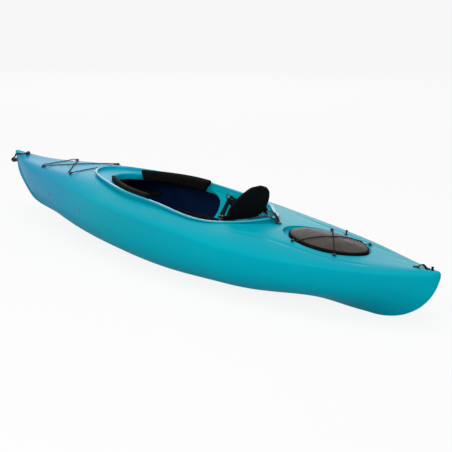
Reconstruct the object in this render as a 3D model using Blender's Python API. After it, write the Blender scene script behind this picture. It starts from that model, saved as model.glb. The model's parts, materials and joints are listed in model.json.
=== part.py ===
"""Sit-in recreational kayak, about 3.1 m long, with its seat, hatch, rigging and foot braces.

Metres. +X points to the bow, +Y to port, +Z up. The flat of the keel stands on z = 0, and the
origin is under the middle of the whole length, toggle included.
"""
import math

import bmesh
import bpy
import numpy as np
from mathutils import Matrix, Vector

# Hull lines: one row for each station from stern to bow, in metres from midships
#   station, half beam, sheer height, deck ridge height, bottom height, fullness of the section
HULL_LINES = (
    (-1.520, 0.012, 0.250, 0.270, 0.206, 1.50),
    (-1.300, 0.128, 0.234, 0.260, 0.055, 1.35),
    (-1.000, 0.250, 0.228, 0.266, 0.038, 2.22),
    (-0.600, 0.345, 0.224, 0.297, 0.006, 2.86),
    (-0.380, 0.366, 0.245, 0.301, -0.001, 3.05),
    (-0.150, 0.375, 0.260, 0.315, -0.007, 3.18),
    (0.350, 0.336, 0.272, 0.336, 0.003, 3.03),
    (0.800, 0.241, 0.281, 0.344, 0.018, 2.52),
    (1.150, 0.146, 0.285, 0.323, 0.050, 1.93),
    (1.380, 0.072, 0.307, 0.319, 0.130, 1.58),
    (1.525, 0.012, 0.330, 0.340, 0.318, 1.50),
)
# Side view of the keel, skeg and stem on the centre plane, from stern to bow (x, z)
KEEL_LINE = (
    (-1.520, 0.235), (-1.506, 0.197), (-1.453, 0.116), (-1.349, 0.039), (-1.180, -0.001), (-1.050, -0.003),
    (-0.830, 0.007), (-0.600, 0.008), (-0.150, -0.003), (0.350, 0.003), (0.800, 0.012), (1.047, 0.020),
    (1.235, 0.048), (1.362, 0.082), (1.442, 0.145), (1.499, 0.210), (1.525, 0.300),
)
STERN_X = -1.520
BOW_X = 1.525
TIP_ROUNDING = 0.022
TOGGLE_FRONT_X = 1.5525
CENTRE_X = (TOGGLE_FRONT_X + STERN_X) / 2
KEEL_HALF_WIDTH = 0.030
# station from which the hollow between bilge and skeg starts to fill towards the stern, and where it is full
FAIRING = (-0.620, -0.980)
DECK_CROWN_POWERS = ((-0.600, 2.9), (0.450, 3.0), (0.850, 5.0))
DECK_SHOULDER = 0.65
CREASE = math.radians(35)
WALL = 0.0042
GAP = 0.0004
HOLLOW_REAR_X = -1.400
HOLLOW_FRONT_X = 1.400

# Cockpit: lip and leg opening in plan, half outlines from the front to the rear
#   lip x, lip y, opening x, opening y, height of the lip's top
COAMING = (
    (0.735, 0.000, 0.583, 0.000, 0.366),
    (0.705, 0.072, 0.570, 0.049, 0.365),
    (0.620, 0.130, 0.527, 0.097, 0.361),
    (0.450, 0.194, 0.422, 0.156, 0.355),
    (0.250, 0.242, 0.245, 0.213, 0.347),
    (0.020, 0.250, 0.020, 0.223, 0.334),
    (-0.200, 0.259, -0.195, 0.233, 0.314),
    (-0.310, 0.236, -0.302, 0.210, 0.306),
    (-0.430, 0.145, -0.415, 0.122, 0.307),
    (-0.515, 0.075, -0.490, 0.052, 0.319),
    (-0.550, 0.000, -0.518, 0.000, 0.324),
)
PAD_X = (0.108, 0.524)
PAD_THICK = 0.022
PAD_SLANT = 0.030
LIP_WIDTH = 0.014
LIP_DEPTH = 0.008
COAMING_WALL_OUT = 0.010
COAMING_WALL_IN = 0.015
SHELF_DROP = 0.016
OPENING_DROP = 0.050
COAMING_FOOT = 0.042

# Seat
PAN_DROP = 0.027
PAN_BOTTOM = 0.100
PAN_THICKNESS = 0.005
PAN_REAR_X = -0.486
PAN_BACK_X = (-0.360, -0.260)
# front edge of the pan: how far forward it reaches at each fraction of the half width
PAN_FRONT = ((0.00, 0.070), (0.30, 0.055), (0.50, 0.018), (0.66, 0.000), (0.80, 0.003), (0.88, 0.014),
             (0.935, 0.036), (0.965, 0.060), (0.985, 0.086), (1.00, 0.118))
BACK_PIVOT = (-0.345, 0.298)
BACK_RECLINE = math.radians(28)
BACK_SET = -0.011
BACK_WRAP = 0.004
# half width of the backrest at each height above the pivot
BACK_HALF_WIDTHS = ((-0.012, 0.122), (0.025, 0.132), (0.065, 0.134), (0.105, 0.120), (0.143, 0.095), (0.168, 0.058),
                    (0.1835, 0.016))
BACK_SHELL = 0.006
BACK_PAD = 0.018
PIVOT_RADIUS = 0.004
PIVOT_HOLE = 0.0043
EAR_Y = (0.150, 0.156)
LUG_Y = (0.137, 0.147)
STRAP_EYE_Y = (0.1580, 0.1610)
STRAP_THICK = 0.002
SIDE_STRAP_WIDTH = 0.014
FLANK_STRAP_WIDTHS = (0.018, 0.036)
REAR_STRAP_WIDTH = 0.012
STRAP_RING = (-0.034, 0.206, 0.299)
STRAP_RING_HALF = (0.0165, 0.0120)
STRAP_RING_WIRE = 0.0022

# Hatch in the rear deck
HATCH_X = -0.890
HATCH_LENGTH = 0.448
HATCH_WIDTH = 0.246
HATCH_ROUNDNESS = 1.90
HATCH_FLOOR = 0.2646
HATCH_CENTRE = (HATCH_X, 0.0, HATCH_FLOOR)
HATCH_SLOPE = 0.050
HATCH_DOME = 0.040
HATCH_RIM = 0.0165
HATCH_RECESS = 0.010
RECESS_AHEAD = 0.010
HATCH_SEAT = 0.020
LID_WALL = 0.003
LID_LEVELS = (0.20, 0.45, 0.80)
POSTS = ((-0.793, 0.1390), (-1.034, 0.1260))
POST_PAD = 0.011
POST_RADIUS = 0.004
POST_HEIGHT = 0.012
CORD_RADIUS = 0.0025

# Rigging on the foredeck: front and rear pairs of eyes
BOW_EYES = ((1.105, 0.118), (0.800, 0.166))
EYE_CORD_HEIGHT = 0.0062

# Carry handles and drain plug
ROPE_RADIUS = 0.0041
HANDLE_EYE_X = 1.420
HANDLE_EYE_HEIGHT = 0.0075
TOGGLE_Z = 0.275
TOGGLE_LENGTH = 0.036
TOGGLE_RADIUS = 0.012
STERN_STRAP_X = (-1.380, -1.404, -1.425, -1.445, -1.4625)
PLUG_X = -1.478
PLUG_HOLE = 0.0045

# Foot braces, bolted through the sides: rear and front bolt, and their height
RAIL_BOLTS = ((0.583, 0.288), (0.975, 0.186))
RAIL_Z = 0.195
RAIL_OVERHANG = 0.014
RAIL_HEIGHT = 0.022
RAIL_DEPTH = 0.010
RAIL_INSET = 0.0095
BOLT_RADIUS = 0.003
BOLT_HOLE = 0.0033

COLOURS = {
    "aqua_plastic": ((0.010, 0.430, 0.530), 0.35, 0.0),
    "black_plastic": ((0.015, 0.015, 0.016), 0.45, 0.0),
    "smoke_plastic": ((0.090, 0.075, 0.070), 0.25, 0.0),
    "black_rubber": ((0.020, 0.020, 0.020), 0.75, 0.0),
    "black_fabric": ((0.018, 0.018, 0.020), 0.90, 0.0),
    "black_webbing": ((0.020, 0.020, 0.022), 0.80, 0.0),
    "black_cord": ((0.015, 0.015, 0.017), 0.70, 0.0),
    "grey_foam": ((0.200, 0.200, 0.210), 0.95, 0.0),
    "steel": ((0.550, 0.550, 0.560), 0.30, 1.0),
}


# Curves

def smooth_curve(xs, ys):
    """Natural cubic spline through the given points, as a function of x."""
    xs = np.asarray(xs, float)
    ys = np.asarray(ys, float)
    count = len(xs)
    step = np.diff(xs)
    system = np.eye(count)
    right = np.zeros(count)
    for i in range(1, count - 1):
        system[i, i - 1:i + 2] = step[i - 1], 2 * (step[i - 1] + step[i]), step[i]
        right[i] = 6 * ((ys[i + 1] - ys[i]) / step[i] - (ys[i] - ys[i - 1]) / step[i - 1])
    bend = np.linalg.solve(system, right)

    def value(x):
        x = np.clip(x, xs[0], xs[-1])
        i = np.clip(np.searchsorted(xs, x) - 1, 0, count - 2)
        a = xs[i + 1] - x
        b = x - xs[i]
        h = step[i]
        return ((bend[i] * a ** 3 + bend[i + 1] * b ** 3) / (6 * h) + (ys[i] / h - bend[i] * h / 6) * a
                + (ys[i + 1] / h - bend[i + 1] * h / 6) * b)

    return value


def smooth_path(points, samples, closed=False):
    """Evenly spaced samples of a smooth curve through points."""
    points = np.asarray(points, float)
    if closed:
        points = np.vstack([points[-3:], points, points[:4]])
    lengths = np.r_[0, np.cumsum(np.linalg.norm(np.diff(points, axis=0), axis=1))]
    start = lengths[3] if closed else 0.0
    end = lengths[-4] if closed else lengths[-1]
    at = np.linspace(start, end, samples + 1 if closed else samples)
    if closed:
        at = at[:-1]
    return np.stack([smooth_curve(lengths, column)(at) for column in points.T], -1)


LINES = [smooth_curve([row[0] for row in HULL_LINES], [row[i] for row in HULL_LINES]) for i in range(1, 6)]
beam_line, sheer, ridge_line, bottom_line, fullness = LINES


def tip_share(x):
    """One along the whole hull, falling off in a quarter circle towards both tips."""
    from_tip = min(x - STERN_X, BOW_X - x) + 0.0015
    share = min(max(from_tip / TIP_ROUNDING, 0.0), 1.0)
    return math.sqrt(1 - (1 - share) ** 2)


def half_beam(x):
    return float(beam_line(x)) * tip_share(x)


def ridge(x):
    """Height of the deck along its middle."""
    return float(sheer(x)) + float(ridge_line(x) - sheer(x)) * math.sqrt(tip_share(x))


KEEL_POINTS = smooth_path(KEEL_LINE, 240)


def keel_height(x):
    """Height of the keel, skeg or stem on the centre plane."""
    return float(np.interp(x, KEEL_POINTS[:, 0], KEEL_POINTS[:, 1]))


def bottom(x):
    """Lowest height of the hull's body, without the skeg and stem below it."""
    return max(float(bottom_line(x)), min(keel_height(x), float(sheer(x)) - 0.008) if abs(x) > 1.45 else -1.0)


def deck_crown(x, share):
    """One on the ridge, falling off to nothing at the sheer: flatter over the foredeck."""
    power = float(np.interp(x, *zip(*DECK_CROWN_POWERS)))
    return max(1 - abs(share) ** power, 0.0) ** DECK_SHOULDER


def deck_height(x, y):
    """Height of the deck's outer surface."""
    share = min(abs(y) / float(half_beam(x)), 1.0)
    return float(sheer(x) + (ridge(x) - sheer(x)) * deck_crown(x, share))


def hull_half_width(x, z):
    """Half width of the hull's outside at height z."""
    top = float(sheer(x))
    depth = top - float(bottom(x))
    power = float(fullness(x))
    share = min(max((top - z) / depth, 0.0), 1.0)
    return float(half_beam(x)) * (1 - share ** power) ** (1 / power)


def hull_inner_floor(x, y):
    """Height of the inside of the hull's bottom, at a distance y from the centre plane."""
    beam = float(half_beam(x)) - WALL
    top = float(sheer(x))
    low = max(float(bottom(x)), 0.0) + WALL
    power = float(fullness(x))
    share = min(abs(y) / beam, 1.0)
    return top - (top - low) * (1 - share ** power) ** (1 / power)


def coaming_curve(samples):
    """Lip points, opening points and lip heights round the cockpit, port side first."""
    half = [list(row) for row in COAMING]
    mirror = [[a, -b, c, -d, e] for a, b, c, d, e in half[-2:0:-1]]
    return smooth_path(half + mirror, samples, closed=True)


COAMING_POINTS = coaming_curve(240)
PORT_HALF = COAMING_POINTS[:121]
lip_height = smooth_curve(PORT_HALF[::-4, 0], PORT_HALF[::-4, 4])


def opening_half_width(x):
    """Half width of the cockpit's clear opening."""
    return float(np.interp(x, PORT_HALF[::-1, 2], PORT_HALF[::-1, 3]))


# Mesh helpers

def material(slot):
    found = bpy.data.materials.get(slot)
    if found:
        return found
    colour, roughness, metallic = COLOURS[slot]
    new = bpy.data.materials.new(slot)
    new.use_nodes = True
    shader = new.node_tree.nodes["Principled BSDF"]
    shader.inputs["Base Color"].default_value = (*colour, 1.0)
    shader.inputs["Roughness"].default_value = roughness
    shader.inputs["Metallic"].default_value = metallic
    new.diffuse_color = (*colour, 1.0)
    return new


def mesh_object(name, points, faces, slot):
    """Makes an object, with its faces turned outwards."""
    mesh = bpy.data.meshes.new(name)
    mesh.from_pydata([tuple(float(c) for c in p) for p in points], [], faces)
    work = bmesh.new()
    work.from_mesh(mesh)
    bmesh.ops.recalc_face_normals(work, faces=work.faces)
    if work.calc_volume(signed=True) < 0:
        bmesh.ops.reverse_faces(work, faces=work.faces)
    work.to_mesh(mesh)
    work.free()
    mesh.materials.append(material(slot))
    mesh.shade_smooth()
    mesh.set_sharp_from_angle(angle=CREASE)
    thing = bpy.data.objects.new(name, mesh)
    bpy.context.scene.collection.objects.link(thing)
    return thing


def loft(name, rings, slot, closed_path=False):
    """Skin over rings of equal point counts, capped at both ends unless the path is closed."""
    rings = [np.asarray(ring, float) for ring in rings]
    count = len(rings[0])
    points = np.vstack(rings)
    faces = []
    pairs = len(rings) if closed_path else len(rings) - 1
    for i in range(pairs):
        a = i * count
        b = (i + 1) % len(rings) * count
        for j in range(count):
            k = (j + 1) % count
            faces.append((a + j, a + k, b + k, b + j))
    if not closed_path:
        faces.append(tuple(range(count)))
        last = (len(rings) - 1) * count
        faces.append(tuple(range(last, last + count)))
    return mesh_object(name, points, faces, slot)


def sheet_solid(name, upper, lower, slot):
    """Closed solid between two grids of points with the same rows and columns."""
    upper = np.asarray(upper, float)
    lower = np.asarray(lower, float)
    rows, columns = upper.shape[:2]
    points = np.vstack([upper.reshape(-1, 3), lower.reshape(-1, 3)])
    under = rows * columns
    faces = []
    for i in range(rows - 1):
        for j in range(columns - 1):
            a = i * columns + j
            quad = (a, a + 1, a + columns + 1, a + columns)
            faces.append(quad)
            faces.append(tuple(under + q for q in reversed(quad)))
    border = [(0, j) for j in range(columns - 1)]
    border += [(i, columns - 1) for i in range(rows - 1)]
    border += [(rows - 1, j) for j in range(columns - 1, 0, -1)]
    border += [(i, 0) for i in range(rows - 1, 0, -1)]
    ring = [i * columns + j for i, j in border]
    for a, b in zip(ring, ring[1:] + ring[:1]):
        faces.append((b, a, under + a, under + b))
    return mesh_object(name, points, faces, slot)


def prism(name, outline, low, high, slot="black_plastic"):
    """Upright prism over a plan outline."""
    rings = [[(x, y, low) for x, y in outline], [(x, y, high) for x, y in outline]]
    return loft(name, rings, slot)


def turned(name, profile, slot, sides=12):
    """Solid of revolution about Z from (radius, height) points, first and last on the axis or not."""
    rings = []
    for radius, height in profile:
        angles = [2 * math.pi * i / sides for i in range(sides)]
        rings.append([(radius * math.cos(a), radius * math.sin(a), height) for a in angles])
    return loft(name, rings, slot)


def pierced_block(name, outer, inner, depth, slot):
    """Block of the outer outline with a hole of the inner outline, in XZ, extruded along Y."""
    near = [(x, -depth / 2, z) for x, z in outer]
    far = [(x, depth / 2, z) for x, z in outer]
    far_hole = [(x, depth / 2, z) for x, z in inner]
    near_hole = [(x, -depth / 2, z) for x, z in inner]
    return loft(name, [near, far, far_hole, near_hole], slot, closed_path=True)


def round_cutter(start, end, radius, sides=12):
    """Round bar from start to end, used as a cutter."""
    start = Vector(start)
    end = Vector(end)
    bar = turned("cutter", [(radius, 0.0), (radius, (end - start).length)], "black_plastic", sides)
    turn = (end - start).to_track_quat("Z", "Y").to_matrix().to_4x4()
    bar.data.transform(Matrix.Translation(start) @ turn)
    return bar


def combine(target, tool, operation):
    """Runs an exact Boolean on target and deletes the tool."""
    step = target.modifiers.new("step", "BOOLEAN")
    step.operation = operation
    step.solver = "EXACT"
    step.object = tool
    bpy.context.view_layer.update()
    view = bpy.context.evaluated_depsgraph_get()
    result = bpy.data.meshes.new_from_object(target.evaluated_get(view))
    target.modifiers.clear()
    old = target.data
    target.data = result
    result.name = target.name
    result.shade_smooth()
    result.set_sharp_from_angle(angle=CREASE)
    bpy.data.meshes.remove(old)
    bpy.data.objects.remove(tool)
    return target


def cut(target, tool):
    return combine(target, tool, "DIFFERENCE")


def join(target, tool):
    return combine(target, tool, "UNION")


def tube(name, points, radius, slot, cyclic=False, resolution=2):
    """Round cord or bar along points."""
    curve = bpy.data.curves.new(name, "CURVE")
    curve.dimensions = "3D"
    curve.bevel_depth = radius
    curve.bevel_resolution = resolution
    curve.render_resolution_u = 0
    curve.use_fill_caps = not cyclic
    spline = curve.splines.new("POLY")
    spline.points.add(len(points) - 1)
    for target, point in zip(spline.points, points):
        target.co = (*[float(c) for c in point], 1.0)
    spline.use_cyclic_u = cyclic
    curve.materials.append(material(slot))
    thing = bpy.data.objects.new(name, curve)
    bpy.context.scene.collection.objects.link(thing)
    return thing


def ribbon(name, path, sides, width, thickness, slot, samples=0):
    """Flat webbing along path, smoothed where samples are asked for; sides are the directions of its width.

    The width is one number, or a pair for webbing that widens from start to end.
    """
    middle = smooth_path(path, samples) if samples else np.asarray(path, float)
    shares = np.linspace(0, len(sides) - 1, len(middle))
    across = np.stack([np.interp(shares, range(len(sides)), column) for column in np.asarray(sides, float).T], -1)
    forward = np.gradient(middle, axis=0)
    widths = np.linspace(*np.broadcast_to(width, 2), len(middle))
    rings = []
    for centre, side, ahead, wide in zip(middle, across, forward, widths):
        ahead = ahead / np.linalg.norm(ahead)
        side = side - ahead * np.dot(side, ahead)
        side = side / np.linalg.norm(side) * wide / 2
        up = np.cross(ahead, side / np.linalg.norm(side)) * thickness / 2
        rings.append([centre - side - up, centre + side - up, centre + side + up, centre - side + up])
    return loft(name, rings, slot)


def move_mesh(thing, matrix):
    """Moves the object's shape, and keeps its faces outwards where the frame is mirrored."""
    thing.data.transform(matrix)
    if matrix.determinant() < 0:
        thing.data.flip_normals()
    return thing


def set_origin(thing, point):
    """Puts the object's origin on point without moving its shape."""
    shift = Vector(point) - thing.location
    thing.data.transform(Matrix.Translation(-shift))
    thing.location = Vector(point)
    return thing


def on_deck(x, y, lift, heading):
    """Frame on the deck: Z along the deck's normal, X near the heading angle in plan."""
    step = 0.004
    along = Vector((2 * step, 0, deck_height(x + step, y) - deck_height(x - step, y)))
    side = Vector((0, 2 * step, deck_height(x, y + step) - deck_height(x, y - step)))
    normal = along.cross(side).normalized()
    forward = Vector((math.cos(heading), math.sin(heading), 0))
    forward = (forward - normal * forward.dot(normal)).normalized()
    left = normal.cross(forward)
    place = Vector((x, y, deck_height(x, y))) + normal * lift
    return Matrix((
        (forward.x, left.x, normal.x, place.x),
        (forward.y, left.y, normal.y, place.y),
        (forward.z, left.z, normal.z, place.z),
        (0, 0, 0, 1),
    ))


# Hull and deck

END_STEPS = (0.000, 0.003, 0.009, 0.020, 0.040, 0.070, 0.110, 0.155, 0.205, 0.255, 0.305, 0.360, 0.440)


def outer_stations():
    """Stations of the outer skins, close together towards both tips."""
    middle = np.linspace(STERN_X + END_STEPS[-1], BOW_X - END_STEPS[-1], 15)[1:-1]
    return [STERN_X + step for step in END_STEPS] + list(middle) + [BOW_X - step for step in reversed(END_STEPS)]


def hollow_stations():
    return list(np.linspace(HOLLOW_REAR_X, HOLLOW_FRONT_X, 24))


def faired(section, share):
    """Fills the hollow between bilge and skeg of a half section, wholly where share is 1."""
    if share == 0:
        return section
    kept = []
    for y, z in section:
        while len(kept) > 1:
            (y1, z1), (y2, z2) = kept[-2:]
            if (y2 - y1) * (z - z2) - (z2 - z1) * (y - y2) < 0:
                break
            kept.pop()
        kept.append((y, z))
    widths, heights = zip(*reversed(kept))
    return [[y + share * max(float(np.interp(z, heights, widths)) - y, 0.0), z] for y, z in section]


def fairing_share(x):
    share = min(max((FAIRING[0] - x) / (FAIRING[0] - FAIRING[1]), 0.0), 1.0)
    return share * share * (3 - 2 * share)


def hull_half_section(x, count=9):
    """Port half of the outer section, from the sheer down to the keel."""
    beam = float(half_beam(x))
    top = float(sheer(x))
    depth = top - float(bottom(x))
    power = float(fullness(x))
    root = min(KEEL_HALF_WIDTH, 0.4 * beam)
    last = math.acos((root / beam) ** (power / 2))
    section = []
    for i in range(count):
        angle = last * i / (count - 1)
        section.append([beam * math.cos(angle) ** (2 / power), top - depth * math.sin(angle) ** (2 / power)])
    keel = min(keel_height(x), section[-1][1])
    section.append([0.45 * root, section[-1][1] * 0.25 + keel * 0.75])
    section.append([0.22 * root, keel])
    return [[y, max(z, 0.0)] for y, z in faired(section, fairing_share(x))]


def hull_ring(x):
    port = hull_half_section(x)
    keel = [0.0, port[-1][1]]
    starboard = [[-y, z] for y, z in reversed(port)]
    return [(x, y, z) for y, z in port + [keel] + starboard]


def hull_hollow_ring(x, count=8):
    beam = float(half_beam(x)) - WALL
    top = float(sheer(x))
    low = max(float(bottom(x)), 0.0) + WALL
    power = float(fullness(x))
    section = [[beam, top + 0.05]]
    for i in range(count):
        angle = math.pi / 2 * i / (count - 1)
        section.append([beam * math.cos(angle) ** (2 / power), top - (top - low) * math.sin(angle) ** (2 / power)])
    port = section[:-1]
    starboard = [[-y, z] for y, z in reversed(port)]
    return [(x, y, z) for y, z in port + [[0.0, low]] + starboard]


def deck_ring(x, count=11):
    beam = float(half_beam(x))
    base = float(sheer(x)) + GAP
    ring = []
    for i in range(count):
        share = math.cos(math.pi * i / (count - 1))
        share = math.copysign(abs(share) ** 0.75, share)
        ring.append((x, beam * share, max(deck_height(x, beam * share), base + 0.0005)))
    ring[0] = (x, beam, base)
    ring[-1] = (x, -beam, base)
    return ring


def deck_hollow_ring(x, count=11):
    beam = float(half_beam(x)) - WALL
    base = float(sheer(x))
    rise = float(ridge(x)) - WALL - base
    ring = [(x, beam, base - 0.05)]
    for i in range(count):
        share = math.cos(math.pi * i / (count - 1))
        share = math.copysign(abs(share) ** 0.75, share)
        ring.append((x, beam * share, base + rise * deck_crown(x, share)))
    ring.append((x, -beam, base - 0.05))
    return ring


def make_hull():
    hull = loft("hull_shell", [hull_ring(x) for x in outer_stations()], "aqua_plastic")
    hollow = [hull_hollow_ring(x) for x in hollow_stations()]
    cut(hull, loft("hollow", hollow, "aqua_plastic"))
    drain_z = 0.234
    cut(hull, round_cutter((PLUG_X, 0, drain_z - PLUG_HOLE), (PLUG_X, 0, 0.30), PLUG_HOLE, 12))
    cut(hull, round_cutter((PLUG_X, 0, drain_z), (HOLLOW_REAR_X + 0.02, 0, drain_z), PLUG_HOLE * 0.8, 12))
    for side in (1, -1):
        for x, y in RAIL_BOLTS:
            normal = rail_normal(side)
            spot = Vector((x, side * y, RAIL_Z))
            cut(hull, round_cutter(spot - normal * 0.02, spot + normal * 0.02, BOLT_HOLE, 12))
    return hull


def coaming_section(row):
    """Closed section of the coaming: lip, outer wall, shelf and the rolled edge of the opening."""
    lip = Vector((row[0], row[1], row[4]))
    inner = Vector((row[2], row[3], row[4]))
    inward = (inner - lip).normalized()
    reach = (inner - lip).length
    section = (
        (0.000, -LIP_DEPTH), (0.000, -0.003), (0.003, 0.000), (LIP_WIDTH, 0.000), (0.017, -0.003),
        (0.018, -SHELF_DROP + 0.001), (reach - 0.008, -SHELF_DROP - 0.002), (reach - 0.001, -0.024),
        (reach, -OPENING_DROP), (reach - 0.004, -OPENING_DROP), (reach - 0.005, -0.027),
        (reach - 0.010, -SHELF_DROP - 0.006), (COAMING_WALL_IN, -SHELF_DROP - 0.004),
        (COAMING_WALL_IN, -COAMING_FOOT), (COAMING_WALL_OUT, -COAMING_FOOT), (COAMING_WALL_OUT, -LIP_DEPTH),
    )
    return [lip + inward * along + Vector((0, 0, height)) for along, height in section]


def hatch_outline(grow, count=40, ahead=0.0):
    """Oval of the hatch lid in plan, grown by a margin and drawn out ahead."""
    half_length = HATCH_LENGTH / 2 + grow + ahead
    half_width = HATCH_WIDTH / 2 + grow
    outline = []
    for i in range(count):
        angle = 2 * math.pi * (i + 0.5) / count
        along = math.copysign(abs(math.cos(angle)) ** (2 / HATCH_ROUNDNESS), math.cos(angle))
        across = math.copysign(abs(math.sin(angle)) ** (2 / HATCH_ROUNDNESS), math.sin(angle))
        outline.append((HATCH_X + ahead + half_length * along, half_width * across))
    return outline


def hatch_floor(x):
    return HATCH_FLOOR + HATCH_SLOPE * (x - HATCH_X)


def hatch_slab(name, grow, low, high, count=40, ahead=0.0):
    """Slab over the hatch's oval, parallel to its sloping floor."""
    outline = hatch_outline(grow, count, ahead)
    rings = [[(x, y, hatch_floor(x) + low) for x, y in outline], [(x, y, hatch_floor(x) + high) for x, y in outline]]
    return loft(name, rings, "aqua_plastic")


def make_deck():
    stations = outer_stations()
    deck = loft("deck_shell", [deck_ring(x) for x in stations], "aqua_plastic")
    rings = [deck_ring(x) for x in stations if abs(x - HATCH_X) < HATCH_LENGTH / 2 + 0.10]
    boss = loft("boss", [[(x, y, z - 0.0018) for x, y, z in ring] for ring in rings], "aqua_plastic")
    hollow = [deck_hollow_ring(x) for x in hollow_stations()]
    cut(deck, loft("hollow", hollow, "aqua_plastic"))
    rows = coaming_curve(48)
    wall_middle = (COAMING_WALL_OUT + COAMING_WALL_IN) / 2
    outline = []
    for row in rows:
        lip = Vector(row[0:2])
        inward = (Vector(row[2:4]) - lip).normalized()
        outline.append(tuple(lip + inward * wall_middle))
    cut(deck, prism("cockpit", outline, 0.20, 0.45))
    join(deck, loft("coaming", [coaming_section(row) for row in rows], "aqua_plastic", closed_path=True))
    combine(boss, hatch_slab("slab", HATCH_RECESS + 0.006, -0.0052, 0.080, 36, RECESS_AHEAD), "INTERSECT")
    join(deck, boss)
    cut(deck, hatch_slab("recess", HATCH_RECESS, 0.0, 0.090, 40, RECESS_AHEAD))
    cut(deck, hatch_slab("hatchway", -HATCH_SEAT, -0.10, 0.10))
    for x, y in post_places().values():
        top = post_pad_height(x, y)
        join(deck, round_cutter((x, y, top - 0.0055), (x, y, top), POST_PAD, 14))
    cut(deck, round_cutter((PLUG_X, 0, 0.20), (PLUG_X, 0, 0.32), PLUG_HOLE, 12))
    return deck


# Seat

def pan_flange(x):
    return float(lip_height(x)) - PAN_DROP


def pan_height(x, y):
    """Height of the seat pan's upper side: a rounded well between flat flanges."""
    width = opening_half_width(x)
    share = min(abs(y) / width, 1.0)
    rear, front = PAN_BACK_X
    t = min(max((x - rear) / (front - rear), 0.0), 1.0)
    deep = t * t * (3 - 2 * t)
    flange = pan_flange(x)
    return flange - (flange - PAN_BOTTOM) * (1 - share ** 1.6) * deep


def make_pan():
    shares, fronts = zip(*PAN_FRONT)
    reach = smooth_curve(shares, fronts)
    columns = [math.sin(math.pi / 2 * t) for t in np.linspace(-1, 1, 17)]
    upper = []
    for step in np.linspace(0, 1, 15):
        row = []
        for share in columns:
            x = PAN_REAR_X + (float(reach(abs(share))) - PAN_REAR_X) * step
            y = share * (opening_half_width(x) - 0.0016)
            row.append((x, y, pan_height(x, y)))
        upper.append(row)
    upper = np.asarray(upper)
    lower = upper - np.array([0, 0, PAN_THICKNESS])
    pan = sheet_solid("seat_pan", upper, lower, "aqua_plastic")
    bpy.context.view_layer.update()
    return pan


def make_seat_cushion(pan):
    """Pad in the seat well: a crown, drawn-in sides and two channels across."""
    rear, half_width, thick = -0.232, 0.105, 0.024
    shares, fronts = zip(*PAN_FRONT)
    reach = smooth_curve(shares, fronts)
    upper = []
    lower = []
    for u in np.linspace(-1, 1, 13):
        top_row = []
        low_row = []
        for v in np.linspace(-1, 1, 11):
            draw = 1 - 0.05 * (1 - abs(u)) * abs(v) ** 3
            y = half_width * v * draw
            front = float(reach(abs(y) / opening_half_width(0.0))) - 0.020
            x = (rear + front) / 2 + (front - rear) / 2 * u
            crown = (1 - u ** 6) * (1 - v ** 6)
            channel = 0.25 * math.exp(-((abs(u) - 0.33) / 0.07) ** 2)
            hit, spot, normal, face = pan.ray_cast((x, y, 0.5), (0, 0, -1))
            base = spot.z + 0.0016
            low_row.append((x, y, base))
            top_row.append((x, y, base + 0.004 + thick * crown * (1 - channel)))
        upper.append(top_row)
        lower.append(low_row)
    return sheet_solid("seat_cushion", upper, lower, "black_fabric")


def back_point(height, y, ahead):
    """Point of the backrest: height above the pivot along it, sideways, and ahead of its middle plane."""
    up = Vector((-math.sin(BACK_RECLINE), 0, math.cos(BACK_RECLINE)))
    forward = Vector((math.cos(BACK_RECLINE), 0, math.sin(BACK_RECLINE)))
    pivot = Vector((BACK_PIVOT[0], 0, BACK_PIVOT[1]))
    wrap = BACK_WRAP * (y / 0.134) ** 2
    return pivot + up * height + forward * (BACK_SET + ahead + wrap) + Vector((0, y, 0))


def back_grid(heights, columns, margin, surface):
    """Grid over the backrest's outline; surface(share across, share up) gives the distance ahead."""
    levels, widths = zip(*BACK_HALF_WIDTHS)
    width_at = smooth_curve(levels, widths)
    low = levels[0] + margin
    high = levels[-1] - margin
    grid = []
    for level in np.linspace(0, 1, heights):
        height = low + (high - low) * math.sin(math.pi / 2 * level) ** 1.1
        row = []
        for column in np.linspace(-1, 1, columns):
            share = math.sin(math.pi / 2 * column)
            y = share * max(float(width_at(height)) - margin, 0.006)
            row.append(back_point(height, y, surface(share, level)))
        grid.append(row)
    return grid


def make_backrest_shell():
    def front(share, level):
        return BACK_SHELL / 2

    def rear(share, level):
        return -BACK_SHELL / 2

    shell = sheet_solid("backrest_shell", back_grid(12, 11, 0.0, front), back_grid(12, 11, 0.0, rear),
                        "black_fabric")
    for side in (1, -1):
        foot = [[back_point(up, side * y, ahead) for ahead, up in ((-0.003, 0.000), (0.003, 0.000), (0.003, 0.022),
                                                                  (-0.003, 0.022))] for y in (0.112, LUG_Y[1])]
        join(shell, loft("foot", foot, "black_fabric"))
        join(shell, pivot_plate("lug", side, LUG_Y, 0.009))
        cut(shell, pivot_bar("hole", side, PIVOT_HOLE, 0.130, 0.150))
    return shell


def pivot_plate(name, side, band, radius, slot="black_plastic"):
    """Upright plate with a round head at the pivot and a foot towards the backrest's lower edge."""
    x, z = BACK_PIVOT
    outline = []
    for i in range(9):
        angle = -math.pi / 2 + math.pi * i / 8
        outline.append((x + radius * math.cos(angle), z + radius * math.sin(angle)))
    outline.append((x - 0.016, z + 0.024))
    outline.append((x - 0.016, z - 0.002))
    low, high = sorted((side * band[0], side * band[1]))
    rings = [[(a, y, b) for a, b in outline] for y in (low, high)]
    return loft(name, rings, slot)


def pivot_bar(name, side, radius, start, end, sides=12):
    x, z = BACK_PIVOT
    bar = round_cutter((x, side * start, z), (x, side * end, z), radius, sides)
    bar.name = name
    return bar


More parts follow.
